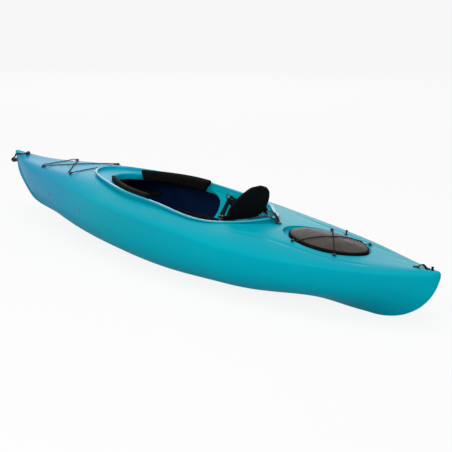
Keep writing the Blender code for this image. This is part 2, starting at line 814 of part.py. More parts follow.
def make_backrest_cushion():
    """Pad on the backrest's front: crowned, thin at the edge, with two channels across."""
    def front(share, level):
        edge = (1 - abs(share) ** 5) * (1 - (2 * level - 1) ** 6)
        channel = 0.28 * (math.exp(-((level - 0.36) / 0.05) ** 2) + math.exp(-((level - 0.66) / 0.05) ** 2))
        return BACK_SHELL / 2 + GAP + 0.004 + BACK_PAD * edge * (1 - channel)

    def rear(share, level):
        return BACK_SHELL / 2 + GAP

    return sheet_solid("backrest_cushion", back_grid(15, 13, 0.004, front), back_grid(15, 13, 0.004, rear),
                       "black_fabric")


def make_pivot(side, word):
    """Bracket on the pan's rear shelf and the pin through bracket, backrest lug and side strap."""
    x, z = BACK_PIVOT
    foot_top = pan_flange(x) + GAP + 0.003
    base_low = pan_flange(x) + GAP
    low, high = sorted((side * EAR_Y[0], side * EAR_Y[1]))
    outline = [(x - 0.018, base_low), (x + 0.012, base_low), (x + 0.012, foot_top)]
    for i in range(9):
        angle = -0.35 + (math.pi + 0.70) * i / 8
        outline.append((x + 0.0095 * math.cos(angle), z + 0.0095 * math.sin(angle)))
    outline.append((x - 0.018, foot_top))
    rings = [[(a, y, b) for a, b in outline] for y in (low, high)]
    bracket = loft(f"pivot_bracket_{word}", rings, "black_plastic")
    cut(bracket, pivot_bar("hole", side, PIVOT_HOLE, 0.140, 0.165))
    pin = pivot_bar(f"pivot_pin_{word}", side, PIVOT_RADIUS, 0.135, 0.1650)
    pin.data.materials.clear()
    pin.data.materials.append(material("steel"))
    join(pin, pivot_bar("head", side, 0.0065, 0.1625, 0.1655))
    return bracket, pin


def hook(centre, radius, start, end, count=6):
    """Points round a bar in a plane, from one angle to the other."""
    angles = np.linspace(start, end, count)
    return [(centre[0] + radius * math.cos(a), centre[1] + radius * math.sin(a)) for a in angles]


def make_side_straps(side, word):
    """Webbing from the pivot pin forward to a ring on the pan's flank, and from the ring down the flank."""
    ring_x, ring_y, ring_z = STRAP_RING
    half_x, half_z = STRAP_RING_HALF
    loop = []
    for i in range(12):
        angle = 2 * math.pi * (i + 0.5) / 12
        across = math.copysign(abs(math.cos(angle)) ** 0.4, math.cos(angle))
        rise = math.copysign(abs(math.sin(angle)) ** 0.4, math.sin(angle))
        loop.append((ring_x + half_x * across, side * ring_y, ring_z + half_z * rise))
    tube(f"strap_ring_{word}", loop, STRAP_RING_WIRE, "black_plastic", cyclic=True)
    wrap = STRAP_RING_WIRE + STRAP_THICK / 2 + 2 * GAP
    # rear webbing: hooked round the ring's rear side, then straight to the pin
    strap_y = (STRAP_EYE_Y[0] + STRAP_EYE_Y[1]) / 2
    pivot_x, pivot_z = BACK_PIVOT
    bar = (ring_x - half_x, ring_y)
    path = [(x, side * y, ring_z) for x, y in hook(bar, wrap, -0.9, math.pi - 1.3)]
    path += [(-0.082, side * 0.1955, 0.2990), (-0.150, side * 0.1800, 0.3005), (-0.230, side * 0.1675, 0.2995),
             (pivot_x + 0.040, side * (strap_y + 0.0012), pivot_z), (pivot_x + 0.006, side * strap_y, pivot_z)]
    upright = [(0, 0, 1)] * len(path)
    strap = ribbon(f"side_strap_{word}", path, upright, SIDE_STRAP_WIDTH, STRAP_THICK, "black_webbing")
    outline = [(pivot_x + 0.011 * math.cos(a), pivot_z + 0.011 * math.sin(a))
               for a in np.linspace(0, 2 * math.pi, 13)[:-1]]
    low, high = sorted((side * STRAP_EYE_Y[0], side * STRAP_EYE_Y[1]))
    join(strap, loft("eye", [[(a, y, b) for a, b in outline] for y in (low, high)], "black_webbing"))
    cut(strap, pivot_bar("hole", side, PIVOT_HOLE + 0.0003, 0.150, 0.170))
    # flank webbing: hooked round the ring's lower side, then down the flank of the pan
    bar = (ring_y, ring_z - half_z)
    path = [(ring_x, side * y, z) for y, z in hook(bar, wrap, math.pi - 0.7, -0.35)]
    for step, y in enumerate((0.199, 0.189, 0.176, 0.158, 0.140)):
        x = ring_x - 0.0014 * (step + 1)
        path.append((x, side * y, max(pan_height(x + dx, y) for dx in (-0.016, 0.0, 0.016)) + 0.0050))
    along = [(1, 0, 0)] * len(path)
    ribbon(f"flank_strap_{word}", path, along, FLANK_STRAP_WIDTHS, STRAP_THICK, "black_webbing")


def make_rear_strap(side, word):
    """Webbing from the pivot bracket over the rear of the coaming to the anchor on the deck."""
    x, z = BACK_PIVOT
    path = [(x - 0.0190, side * 0.1575, z - 0.004), (-0.400, side * 0.128, 0.3055), (-0.445, side * 0.095, 0.3135),
            (-0.498, side * 0.054, 0.3245), (-0.540, side * 0.022, 0.3270), (-0.5675, side * 0.0085, 0.3190)]
    sides = [(-0.61, 0.79 * side, 0.0)] + [(-0.55, 0.83 * side, 0.0)] * 4 + [(-0.45, 0.89 * side, 0.0)]
    return ribbon(f"rear_strap_{word}", path, sides, REAR_STRAP_WIDTH, STRAP_THICK, "black_webbing", 14)


# Small fittings

def make_cord_eye(name, x, y, heading, cord_lift, cord_radius):
    """Small bridge-shaped deck eye with a wide foot; the cord passes through it along its Y."""
    hole = cord_radius + 0.0013
    top = cord_lift + hole + 0.0030
    foot = 0.0028
    half_foot = 0.0140
    half_bridge = hole + 0.0032
    outer = [(half_foot, 0), (half_foot, foot), (half_bridge + 0.0005, foot + 0.0004), (half_bridge, top - 0.0035),
             (half_bridge * 0.55, top), (-half_bridge * 0.55, top), (-half_bridge, top - 0.0035),
             (-half_bridge - 0.0005, foot + 0.0004), (-half_foot, foot), (-half_foot, 0)]
    angles = [-0.93, -0.40, 0.20, 0.70, 1.20, 1.94, 2.44, 2.94, 3.54, 4.07]
    inner = [(hole * math.cos(a), cord_lift + hole * math.sin(a)) for a in angles]
    eye = pierced_block(name, outer, inner, 0.007, "black_plastic")
    return move_mesh(eye, on_deck(x, y, GAP, heading))


def make_bow_rigging():
    """One elastic cord laced through four deck eyes: across, diagonal, across, diagonal."""
    (front_x, front_y), (rear_x, rear_y) = BOW_EYES
    corners = [Vector((front_x, front_y)), Vector((front_x, -front_y)), Vector((rear_x, rear_y)),
               Vector((rear_x, -rear_y))]
    names = ["bow_eye_port_front", "bow_eye_starboard_front", "bow_eye_port_rear", "bow_eye_starboard_rear"]
    turns = []
    for i, here in enumerate(corners):
        before = corners[i - 1]
        after = corners[(i + 1) % 4]
        towards = ((before - here).normalized() + (after - here).normalized()).normalized()
        tangent = Vector((-towards.y, towards.x))
        if tangent.dot(after - here) < 0:
            tangent = -tangent
        heading = math.atan2(-towards.y, -towards.x)
        make_cord_eye(names[i], here.x, here.y, heading, EYE_CORD_HEIGHT, CORD_RADIUS)
        frame = on_deck(here.x, here.y, GAP, heading)
        ahead = 1 if frame.col[1].to_2d().dot(tangent) > 0 else -1
        arc = ((0.011, -0.017), (0.0045, -0.012), (0.0005, -0.006), (0.0, 0.0), (0.0005, 0.006), (0.0045, 0.012),
               (0.011, 0.017))
        turns.append([frame @ Vector((-back, ahead * along, EYE_CORD_HEIGHT)) for back, along in arc])
    points = []
    for i, turn in enumerate(turns):
        points += turn
        start = turn[-1]
        end = turns[(i + 1) % 4][0]
        length = (end - start).length
        pieces = round(length / 0.031)
        for step in range(1, pieces):
            share = step / pieces
            spot = start.lerp(end, share)
            end_share = max(0.0, 1 - min(share, 1 - share) * length / 0.045)
            lift = 0.0038 + (EYE_CORD_HEIGHT - 0.0034) * end_share
            if i == 1:
                lift += (2 * CORD_RADIUS + 0.0012) * max(0.0, 1 - abs(share - 0.5) * length / 0.05)
            points.append((spot.x, spot.y, deck_height(spot.x, spot.y) + lift))
    tube("bow_cord", points, CORD_RADIUS, "black_cord", cyclic=True)


def make_thigh_pad(side, word):
    """Foam pad along the inner edge of the opening, standing up to the lip's height, cut off aslant at the rear."""
    rows = [row for row in PORT_HALF[::2] if PAD_X[0] < row[2] < PAD_X[1]]
    last = len(rows) - 1
    keep = [0, 1] + list(range(4, last - 2, 3)) + [last - 1, last]
    rings = []
    for number in keep:
        row = rows[number]
        ahead = rows[max(number - 1, 0)]
        behind = rows[min(number + 1, last)]
        lip = Vector((row[0], row[1], 0))
        inner = Vector((row[2], row[3], 0))
        inward = (inner - lip).normalized()
        forward = Vector((ahead[2] - behind[2], ahead[3] - behind[3], 0)).normalized()
        share = number / last
        top = 0.006 + 0.010 * share
        low = -0.046
        end = 0.80 if number in (0, last) else 1.0
        section = [(0.0012, low + 0.008), (0.0012, -0.021), (-0.008, -0.0150), (-0.008, top - 0.007), (-0.004, top),
                   (PAD_THICK * 0.50, top + 0.001), (PAD_THICK * 0.85, top - 0.003), (PAD_THICK, top - 0.014),
                   (PAD_THICK, low + 0.012), (PAD_THICK * 0.65, low), (PAD_THICK * 0.20, low + 0.001)]
        middle = (top + low) / 2
        ring = []
        for along, height in section:
            slant = PAD_SLANT * max(0.0, share - 0.75) / 0.25 * (top - height) / (top - low)
            height = middle + (height - middle) * end
            if along > 0.002:
                along = 0.002 + (along - 0.002) * end
            point = inner + inward * along + forward * slant + Vector((0, 0, row[4] + height))
            ring.append((point.x, side * point.y, point.z))
        rings.append(ring)
    return loft(f"thigh_pad_{word}", rings, "black_rubber")


def hatch_rings(levels, count=32):
    """Ovals of the lid: each level is (growth of the outline, height above the hatch floor)."""
    return [[(x, y, hatch_floor(x) + height) for x, y in hatch_outline(grow, count)] for grow, height in levels]


def make_hatch():
    seal = loft("hatch_seal", hatch_rings([(-0.004, GAP), (-0.003, 0.005), (-0.015, 0.006), (-0.016, GAP)]),
                "black_rubber", closed_path=True)
    outer = [(-0.0012, 0.0012), (0.0, 0.0030), (0.0, HATCH_RIM - 0.0035), (-0.005, HATCH_RIM)]
    for share in LID_LEVELS:
        outer.append((-HATCH_WIDTH / 2 * share, HATCH_RIM + (HATCH_DOME - HATCH_RIM) * math.sin(math.pi / 2 * share)))
    inner = [(grow - LID_WALL, height - LID_WALL) for grow, height in reversed(outer[3:])]
    rings = hatch_rings(outer)
    rings_in = hatch_rings(inner + [(-0.0028 - 0.0002, 0.0078), (-0.0026, 0.0012)])
    count = len(rings[0])
    points = [p for ring in rings for p in ring] + [p for ring in rings_in for p in ring]
    total = len(rings) + len(rings_in)
    faces = []
    for i in range(total):
        after = (i + 1) % total
        if i == len(rings) - 1:
            faces.append(tuple(range(i * count, (i + 1) * count)))
            faces.append(tuple(range(after * count, (after + 1) * count)))
            continue
        for j in range(count):
            k = (j + 1) % count
            faces.append((i * count + j, i * count + k, after * count + k, after * count + j))
    lid = mesh_object("hatch_lid", points, faces, "smoke_plastic")
    set_origin(lid, HATCH_CENTRE)
    return lid, seal


def hatch_inset(x, y):
    """How far inside the lid's outline a point lies, negative outside it."""
    low, high = -0.10, HATCH_WIDTH / 2 - 0.0005
    for halving in range(30):
        middle = (low + high) / 2
        reach = (abs((x - HATCH_X) / (HATCH_LENGTH / 2 - middle)) ** HATCH_ROUNDNESS
                 + abs(y / (HATCH_WIDTH / 2 - middle)) ** HATCH_ROUNDNESS)
        if reach < 1.0:
            low = middle
        else:
            high = middle
    return low


def lid_height(x, y):
    """Upper side of the lid's dome, or of the deck beside it."""
    inset = hatch_inset(x, y)
    if inset <= -0.0035:
        return post_pad_height(x, y) - 0.0015
    levels = [(-0.0035, HATCH_RIM - 0.0035), (0.0, HATCH_RIM - 0.0020), (0.005, HATCH_RIM)]
    for share in LID_LEVELS:
        levels.append((HATCH_WIDTH / 2 * share, HATCH_RIM + (HATCH_DOME - HATCH_RIM) * math.sin(math.pi / 2 * share)))
    return hatch_floor(x) + float(np.interp(inset, [a for a, b in levels], [b for a, b in levels]))


def post_pad_height(x, y):
    """Top of the flat pad that carries a cord post."""
    return deck_height(x, abs(y) - POST_PAD) + 0.0010


def post_places():
    (front_x, front_y), (rear_x, rear_y) = POSTS
    return {"port_front": (front_x, front_y), "starboard_front": (front_x, -front_y),
            "port_rear": (rear_x, rear_y), "starboard_rear": (rear_x, -rear_y)}


def make_hatch_cords():
    """Two elastic cords crossed over the lid, with a ring at each end that drops over a deck post."""
    places = post_places()
    angles = [2 * math.pi * i / 10 for i in range(10)]
    rim = [(0.0085 * math.cos(a), 0.0085 * math.sin(a)) for a in angles]
    hole = [(0.0052 * math.cos(a), 0.0052 * math.sin(a)) for a in angles]
    for word, (x, y) in places.items():
        foot = post_pad_height(x, y)
        profile = [(0.0090, GAP), (0.0090, 0.0020), (POST_RADIUS, 0.0032), (POST_RADIUS, POST_HEIGHT - 0.002),
                   (POST_RADIUS * 0.6, POST_HEIGHT)]
        post = turned(f"hatch_post_{word}", profile, "black_plastic", 12)
        move_mesh(post, Matrix.Translation((x, y, foot)))
        ring = pierced_block(f"cord_ring_{word}", rim, hole, 0.005, "black_plastic")
        move_mesh(ring, Matrix.Translation((x, y, foot + 0.0062)) @ Matrix.Rotation(math.pi / 2, 4, "X"))
        set_origin(ring, (x, y, foot))
    pairs = {"hatch_cord_low": ("port_front", "starboard_rear", 0.0),
             "hatch_cord_high": ("starboard_front", "port_rear", 2 * CORD_RADIUS + 0.0012)}
    for name, (first, second, bump) in pairs.items():
        a = Vector(places[first])
        b = Vector(places[second])
        along = (b - a).normalized()
        start = a + along * 0.0116
        end = b - along * 0.0116
        path = []
        for step in range(25):
            spot = start.lerp(end, step / 24)
            if step in (0, 24):
                path.append((spot.x, spot.y, post_pad_height(*(a if step == 0 else b)) + 0.0062))
                continue
            height = max(lid_height(spot.x + dx, spot.y) for dx in (-0.004, 0.0, 0.004))
            crossing = bump * max(0.0, 1 - abs(step / 24 - 0.5) / 0.22)
            path.append((spot.x, spot.y, height + CORD_RADIUS + 0.0012 + crossing))
        cord = tube(name, path, CORD_RADIUS, "black_cord")
        set_origin(cord, HATCH_CENTRE)


def make_strap_anchor():
    """Plate on the deck behind the cockpit that holds both rear straps, and its screw."""
    x = -0.580
    frame = on_deck(x, 0.0, GAP, 0.0)
    outline = [(-0.011, -0.007), (0.006, -0.016), (0.011, -0.016), (0.011, 0.016), (0.006, 0.016), (-0.011, 0.007)]
    plate = prism("strap_anchor", outline, 0.0, 0.0070)
    move_mesh(plate, frame)
    cut(plate, round_cutter(frame @ Vector((-0.002, 0, -0.01)), frame @ Vector((-0.002, 0, 0.02)), 0.0024, 12))
    screw = turned("strap_anchor_screw", [(0.0020, 0.0010), (0.0020, 0.0073), (0.0045, 0.0074), (0.0041, 0.0090),
                                          (0.0024, 0.0097)], "steel", 10)
    move_mesh(screw, frame @ Matrix.Translation((-0.002, 0, 0)))


def make_deck_post():
    """Small upright post on the starboard side of the hatch."""
    x, y = -0.862, -0.160
    post = turned("paddle_post", [(0.0080, 0.0), (0.0080, 0.003), (0.0042, 0.005), (0.0042, 0.016), (0.0065, 0.019),
                                  (0.0055, 0.022)], "black_plastic", 12)
    move_mesh(post, on_deck(x, y, 0.0008, 0.0))


def make_bow_handle():
    """Toggle on a rope loop that runs round the stem from an eye on the foredeck."""
    make_cord_eye("bow_handle_eye", HANDLE_EYE_X, 0.0, 0.0, HANDLE_EYE_HEIGHT, ROPE_RADIUS)
    eye = on_deck(HANDLE_EYE_X, 0.0, GAP, 0.0) @ Vector((0, 0, HANDLE_EYE_HEIGHT))
    toggle_x = TOGGLE_FRONT_X - TOGGLE_RADIUS
    end = TOGGLE_LENGTH / 2
    beside = [(x, hull_half_width(x, z) + ROPE_RADIUS + 0.0036, z) for x, z in ((1.478, 0.3230), (1.502, 0.3080))]
    strand = [(eye.x, 0.0055, eye.z), (eye.x + 0.004, 0.0160, eye.z), (1.431, 0.0260, eye.z - 0.001),
              (1.454, 0.0360, deck_height(1.454, 0.0360) + 0.0060)] + beside
    strand += [(1.524, 0.0250, 0.2930),
              (toggle_x - 0.0030, 0.0255, TOGGLE_Z + 0.0065), (toggle_x - 0.0006, end + 0.0036, TOGGLE_Z + 0.0012),
              (toggle_x, end + 0.0008, TOGGLE_Z)]
    port = [(eye.x, 0.0, eye.z)] + [tuple(p) for p in smooth_path(strand, 17)] + [(toggle_x, 0.0, TOGGLE_Z)]
    starboard = [(x, -y, z) for x, y, z in reversed(port[1:-1])]
    rope = tube("bow_rope", port + starboard, ROPE_RADIUS, "black_cord", cyclic=True)
    sides = 14
    profile = [(0.0085, -0.5), (0.0112, -0.40), (TOGGLE_RADIUS, 0.0), (0.0112, 0.40), (0.0085, 0.5)]
    outer = []
    for radius, share in profile:
        outer.append([(radius * math.cos(2 * math.pi * i / sides), radius * math.sin(2 * math.pi * i / sides),
                       share * TOGGLE_LENGTH) for i in range(sides)])
    bore = ROPE_RADIUS + 0.0006
    inner = [[(bore * math.cos(2 * math.pi * i / sides), bore * math.sin(2 * math.pi * i / sides), end * TOGGLE_LENGTH)
              for i in range(sides)] for end in (0.5, -0.5)]
    toggle = loft("bow_toggle", outer + inner, "black_plastic", closed_path=True)
    move_mesh(toggle, Matrix.Translation((toggle_x, 0, TOGGLE_Z)) @ Matrix.Rotation(math.pi / 2, 4, "X"))
    for thing in (rope, toggle):
        set_origin(thing, eye)


def make_stern_handle():
    """Webbing handle with a raised middle, screwed down at both ends."""
    front, foot_front, top, foot_rear, rear = STERN_STRAP_X
    lift = 0.0025
    path = []
    for x, rise in ((front, 0), ((front + foot_front) / 2, 0), (foot_front, 0.0012), (foot_front - 0.008, 0.0088),
                    (top, 0.0140), (foot_rear + 0.008, 0.0088), (foot_rear, 0.0012), (rear, 0)):
        path.append((x, 0, deck_height(x, 0) + lift + rise))
    strap = ribbon("stern_strap", path, [(0, 1, 0)] * len(path), 0.016, 0.0030, "black_webbing", 20)
    for number, x in (("front", front - 0.010), ("rear", rear + 0.006)):
        z = deck_height(x, 0)
        cut(strap, round_cutter((x, 0, z - 0.01), (x, 0, z + 0.02), 0.0024, 12))
        screw = turned(f"stern_screw_{number}", [(0.0020, 0.0008), (0.0020, 0.0046), (0.0045, 0.0047),
                                                 (0.0041, 0.0063), (0.0024, 0.0069)], "steel", 10)
        move_mesh(screw, Matrix.Translation((x, 0, z)))


def make_drain_plug():
    z = deck_height(PLUG_X, 0)
    plug = turned("drain_plug", [(PLUG_HOLE - 0.0005, -0.016), (PLUG_HOLE - 0.0004, 0.0006), (0.0068, 0.0010),
                                 (0.0068, 0.0034), (0.0050, 0.0050), (0.0050, 0.0110), (0.0064, 0.0130),
                                 (0.0054, 0.0155)], "black_rubber", 14)
    move_mesh(plug, Matrix.Translation((PLUG_X, 0, z)))
    set_origin(plug, (PLUG_X, 0, z))


# Foot braces

def rail_direction(side):
    (rear_x, rear_y), (front_x, front_y) = RAIL_BOLTS
    return Vector((front_x - rear_x, side * (front_y - rear_y), 0)).normalized()


def rail_normal(side):
    """Horizontal direction out through the hull's side, square to the rail."""
    along = rail_direction(side)
    return Vector((-along.y, along.x, 0)) * side


def rail_frame(side):
    """Frame at the middle of the rail's outer face: X forward along it, Y outwards, Z up."""
    (rear_x, rear_y), (front_x, front_y) = RAIL_BOLTS
    middle = Vector(((rear_x + front_x) / 2, side * (rear_y + front_y) / 2, RAIL_Z))
    along = rail_direction(side)
    outward = rail_normal(side)
    place = middle - outward * RAIL_INSET
    return Matrix((
        (along.x, outward.x, 0, place.x),
        (along.y, outward.y, 0, place.y),
        (0, 0, 1, place.z),
        (0, 0, 0, 1),
    ))


def section_bar(name, section, start, end, slot):
    """Bar of a YZ section along X."""
    rings = [[(x, y, z) for y, z in section] for x in (start, end)]
    return loft(name, rings, slot)


def make_foot_brace(side, word):
    frame = rail_frame(side)
    span = (Vector(RAIL_BOLTS[1]) - Vector(RAIL_BOLTS[0])).length
    half = span / 2 + RAIL_OVERHANG
    h = RAIL_HEIGHT / 2
    rail = section_bar(f"foot_rail_{word}", [(0, -h), (0, h), (-RAIL_DEPTH, h), (-RAIL_DEPTH, -h)], -half, half,
                       "black_plastic")
    for at in (-span / 2, span / 2):
        cut(rail, round_cutter((at, 0.01, 0), (at, -RAIL_DEPTH - 0.01, 0), BOLT_HOLE, 12))
    move_mesh(rail, frame)
    for end, at in (("rear", -span / 2), ("front", span / 2)):
        bolt = turned(f"rail_bolt_{word}_{end}", [(BOLT_RADIUS, -0.0185), (BOLT_RADIUS, 0.0028), (0.0070, 0.0030),
                                                  (0.0066, 0.0046), (0.0038, 0.0058)], "steel", 10)
        move_mesh(bolt, frame @ Matrix.Translation((at, RAIL_INSET, 0)) @ Matrix.Rotation(-math.pi / 2, 4, "X"))
    lip = 0.0006
    wrap = 0.003
    slider = [(-0.0015, -h - lip), (-0.0015, -h - lip - wrap), (-RAIL_DEPTH - 0.005, -h - lip - wrap),
              (-RAIL_DEPTH - 0.005, h + lip + wrap), (-0.0015, h + lip + wrap), (-0.0015, h + lip),
              (-RAIL_DEPTH - lip, h + lip), (-RAIL_DEPTH - lip, -h - lip)]
    pedal = section_bar(f"foot_pedal_{word}", slider, -0.035, 0.035, "black_plastic")
    plate = section_bar("plate", [(-0.012, -0.045), (-0.012, 0.045), (-0.030, 0.055), (-0.082, 0.055), (-0.090, 0.047),
                                  (-0.090, -0.047), (-0.082, -0.055), (-0.030, -0.055)], -0.004, 0.004,
                        "black_plastic")
    join(pedal, plate)
    web = loft("web", [[(0.003, -0.0130, -0.004), (0.003, -0.0130, 0.004), (0.003, -0.075, 0.004), (0.003, -0.075, -0.004)],
                       [(0.034, -0.0130, -0.004), (0.034, -0.0130, 0.004), (0.030, -0.018, 0.004), (0.030, -0.018, -0.004)]],
               "black_plastic")
    join(pedal, web)
    move_mesh(pedal, frame)
    set_origin(pedal, frame.to_translation())


# Flotation foam

def make_foam(name, rear, front, half_width):
    """Foam wall on the centre plane between the hull and the deck."""
    rings = []
    for x in np.linspace(rear, front, 5):
        low = hull_inner_floor(x, half_width) + 0.009
        high = float(ridge(x)) - WALL - 0.003
        rings.append([(x, -half_width, low), (x, half_width, low), (x, half_width, high), (x, -half_width, high)])
    return loft(name, rings, "grey_foam")


def main():
    for old in list(bpy.data.objects):
        bpy.data.objects.remove(old)
    make_hull()
    make_deck()
    make_seat_cushion(make_pan())
    pivot = (BACK_PIVOT[0], 0, BACK_PIVOT[1])
    set_origin(make_backrest_shell(), pivot)
    set_origin(make_backrest_cushion(), pivot)
    for side, word in ((1, "port"), (-1, "starboard")):
        make_pivot(side, word)
        make_side_straps(side, word)
        make_rear_strap(side, word)
        make_thigh_pad(side, word)
        make_foot_brace(side, word)
    make_strap_anchor()
    make_hatch()
    make_hatch_cords()
    make_deck_post()
    make_bow_rigging()
    make_bow_handle()
    make_stern_handle()
    make_drain_plug()
    make_foam("bow_foam", 1.05, 1.30, 0.025)
    make_foam("stern_foam", -1.34, -1.14, 0.025)
    for thing in bpy.context.scene.objects:
        thing.location.x -= CENTRE_X


main()
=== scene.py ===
"""Sit-in recreational kayak: looks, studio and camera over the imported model.

The shell, the seat and the soft goods are rebuilt here with finer faces from the same named sizes as the
part's source. They are worked out in the part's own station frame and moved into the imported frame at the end.
"""
import json
import math

import bmesh
import bpy
import numpy as np
from mathutils.kdtree import KDTree
from mathutils import Matrix, Vector


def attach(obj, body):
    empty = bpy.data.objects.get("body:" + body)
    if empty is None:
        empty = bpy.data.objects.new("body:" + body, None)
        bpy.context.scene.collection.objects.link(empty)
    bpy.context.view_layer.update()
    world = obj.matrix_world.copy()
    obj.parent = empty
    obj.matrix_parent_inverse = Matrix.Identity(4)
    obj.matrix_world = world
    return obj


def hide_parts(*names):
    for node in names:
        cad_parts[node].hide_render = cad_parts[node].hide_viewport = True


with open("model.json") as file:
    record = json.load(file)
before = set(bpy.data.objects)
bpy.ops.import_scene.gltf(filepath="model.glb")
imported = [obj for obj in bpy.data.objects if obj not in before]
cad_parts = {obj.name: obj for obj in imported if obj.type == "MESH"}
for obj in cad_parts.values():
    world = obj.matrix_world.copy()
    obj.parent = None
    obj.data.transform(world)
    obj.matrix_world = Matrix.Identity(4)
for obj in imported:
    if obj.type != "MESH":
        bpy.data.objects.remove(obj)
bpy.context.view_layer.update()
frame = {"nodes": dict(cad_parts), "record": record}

SIDES = ((1, "port"), (-1, "starboard"))


# Hull lines: one row for each station from stern to bow, in metres from midships
#   station, half beam, sheer height, deck ridge height, bottom height, fullness of the section
HULL_LINES = (
    (-1.520, 0.012, 0.250, 0.270, 0.206, 1.50),
    (-1.300, 0.128, 0.234, 0.260, 0.055, 1.35),
    (-1.000, 0.250, 0.228, 0.266, 0.038, 2.22),
    (-0.600, 0.345, 0.224, 0.297, 0.006, 2.86),
    (-0.380, 0.366, 0.245, 0.301, -0.001, 3.05),
    (-0.150, 0.375, 0.260, 0.315, -0.007, 3.18),
    (0.350, 0.336, 0.272, 0.336, 0.003, 3.03),
    (0.800, 0.241, 0.281, 0.344, 0.018, 2.52),
    (1.150, 0.146, 0.285, 0.323, 0.050, 1.93),
    (1.380, 0.072, 0.307, 0.319, 0.130, 1.58),
    (1.525, 0.012, 0.330, 0.340, 0.318, 1.50),
)
# Side view of the keel, skeg and stem on the centre plane, from stern to bow (x, z)
KEEL_LINE = (
    (-1.520, 0.235), (-1.506, 0.197), (-1.453, 0.116), (-1.349, 0.039), (-1.180, -0.001), (-1.050, -0.003),
    (-0.830, 0.007), (-0.600, 0.008), (-0.150, -0.003), (0.350, 0.003), (0.800, 0.012), (1.047, 0.020),
    (1.235, 0.048), (1.362, 0.082), (1.442, 0.145), (1.499, 0.210), (1.525, 0.300),
)
STERN_X = -1.520
BOW_X = 1.525
TIP_ROUNDING = 0.022
# beyond this station the body's bottom rises with the stem, to this far under the sheer at most
TIP_X = 1.45
TIP_DEPTH = 0.008
TOGGLE_FRONT_X = 1.5525
CENTRE_X = (TOGGLE_FRONT_X + STERN_X) / 2
KEEL_HALF_WIDTH = 0.030
# station from which the hollow between bilge and skeg starts to fill towards the stern, and where it is full
FAIRING = (-0.620, -0.980)
DECK_CROWN_POWERS = ((-0.600, 2.9), (0.450, 3.0), (0.850, 5.0))
DECK_SHOULDER = 0.65
WALL = 0.0042
GAP = 0.0004
HOLLOW_REAR_X = -1.400
HOLLOW_FRONT_X = 1.400

# Cockpit: lip and leg opening in plan, half outlines from the front to the rear
#   lip x, lip y, opening x, opening y, height of the lip's top
COAMING = (
    (0.735, 0.000, 0.583, 0.000, 0.366),
    (0.705, 0.072, 0.570, 0.049, 0.365),
    (0.620, 0.130, 0.527, 0.097, 0.361),
    (0.450, 0.194, 0.422, 0.156, 0.355),
    (0.250, 0.242, 0.245, 0.213, 0.347),
    (0.020, 0.250, 0.020, 0.223, 0.334),
    (-0.200, 0.259, -0.195, 0.233, 0.314),
    (-0.310, 0.236, -0.302, 0.210, 0.306),
    (-0.430, 0.145, -0.415, 0.122, 0.307),
    (-0.515, 0.075, -0.490, 0.052, 0.319),
    (-0.550, 0.000, -0.518, 0.000, 0.324),
)
# thigh pads: rear and front end, thickness, and how far the rear end slants
PAD_X = (0.108, 0.524)
PAD_THICK = 0.022
PAD_SLANT = 0.030
# section of the coaming: its lip, wall, inner shelf and the opening's edge
LIP_WIDTH = 0.014
LIP_DEPTH = 0.008
COAMING_WALL_OUT = 0.010
COAMING_WALL_IN = 0.015
SHELF_DROP = 0.016
OPENING_DROP = 0.050
COAMING_FOOT = 0.042

# Seat
PAN_DROP = 0.027
PAN_BOTTOM = 0.100
PAN_THICKNESS = 0.005
PAN_REAR_X = -0.486
PAN_BACK_X = (-0.360, -0.260)
# front edge of the pan: how far forward it reaches at each fraction of the half width
PAN_FRONT = ((0.00, 0.070), (0.30, 0.055), (0.50, 0.018), (0.66, 0.000), (0.80, 0.003), (0.88, 0.014),
             (0.935, 0.036), (0.965, 0.060), (0.985, 0.086), (1.00, 0.118))
BACK_PIVOT = (-0.345, 0.298)
BACK_RECLINE = math.radians(28)
BACK_SET = -0.011
BACK_WRAP = 0.004
BACK_WIDEST = 0.134
# half width of the backrest at each height above the pivot
BACK_HALF_WIDTHS = ((-0.012, 0.122), (0.025, 0.132), (0.065, 0.134), (0.105, 0.120), (0.143, 0.095),
                    (0.168, 0.058), (0.1835, 0.016))
BACK_SHELL = 0.006
PIVOT_HOLE = 0.0043
LUG_Y = (0.137, 0.147)
STRAP_EYE_Y = (0.1580, 0.1610)
STRAP_THICK = 0.002
SIDE_STRAP_WIDTH = 0.014
FLANK_STRAP_WIDTHS = (0.018, 0.036)
REAR_STRAP_WIDTH = 0.012
STRAP_RING = (-0.034, 0.206, 0.299)
STRAP_RING_HALF = (0.0165, 0.0120)
STRAP_RING_WIRE = 0.0022

# Hatch in the rear deck
HATCH_X = -0.890
HATCH_LENGTH = 0.448
HATCH_WIDTH = 0.246
HATCH_ROUNDNESS = 1.90
HATCH_FLOOR = 0.2646
HATCH_SLOPE = 0.050
HATCH_DOME = 0.040
HATCH_RIM = 0.0165
HATCH_RECESS = 0.010
RECESS_AHEAD = 0.010
HATCH_SEAT = 0.020
LID_LEVELS = (0.20, 0.45, 0.80)
POSTS = ((-0.793, 0.1390), (-1.034, 0.1260))
POST_PAD = 0.011
POST_PAD_RISE = 0.0010
POST_PAD_DEPTH = 0.0055
CORD_RADIUS = 0.0025

# Rigging on the foredeck: front and rear pairs of eyes
BOW_EYES = ((1.105, 0.118), (0.800, 0.166))
EYE_CORD_HEIGHT = 0.0062

# Carry handles and drain plug
ROPE_RADIUS = 0.0041
HANDLE_EYE_X = 1.420
HANDLE_EYE_HEIGHT = 0.0075
TOGGLE_Z = 0.275
TOGGLE_LENGTH = 0.036
TOGGLE_RADIUS = 0.012
STERN_STRAP_X = (-1.380, -1.404, -1.425, -1.445, -1.4625)
PLUG_X = -1.478
PLUG_HOLE = 0.0045


# Numbers and curves

def clamped(value):
    return min(max(value, 0.0), 1.0)


def eased(value):
    """Soft step: 0 up to the value 0, 1 from the value 1 on."""
    value = clamped(value)
    return value * value * (3 - 2 * value)


def signed_power(value, power):
    return math.copysign(abs(value) ** power, value)


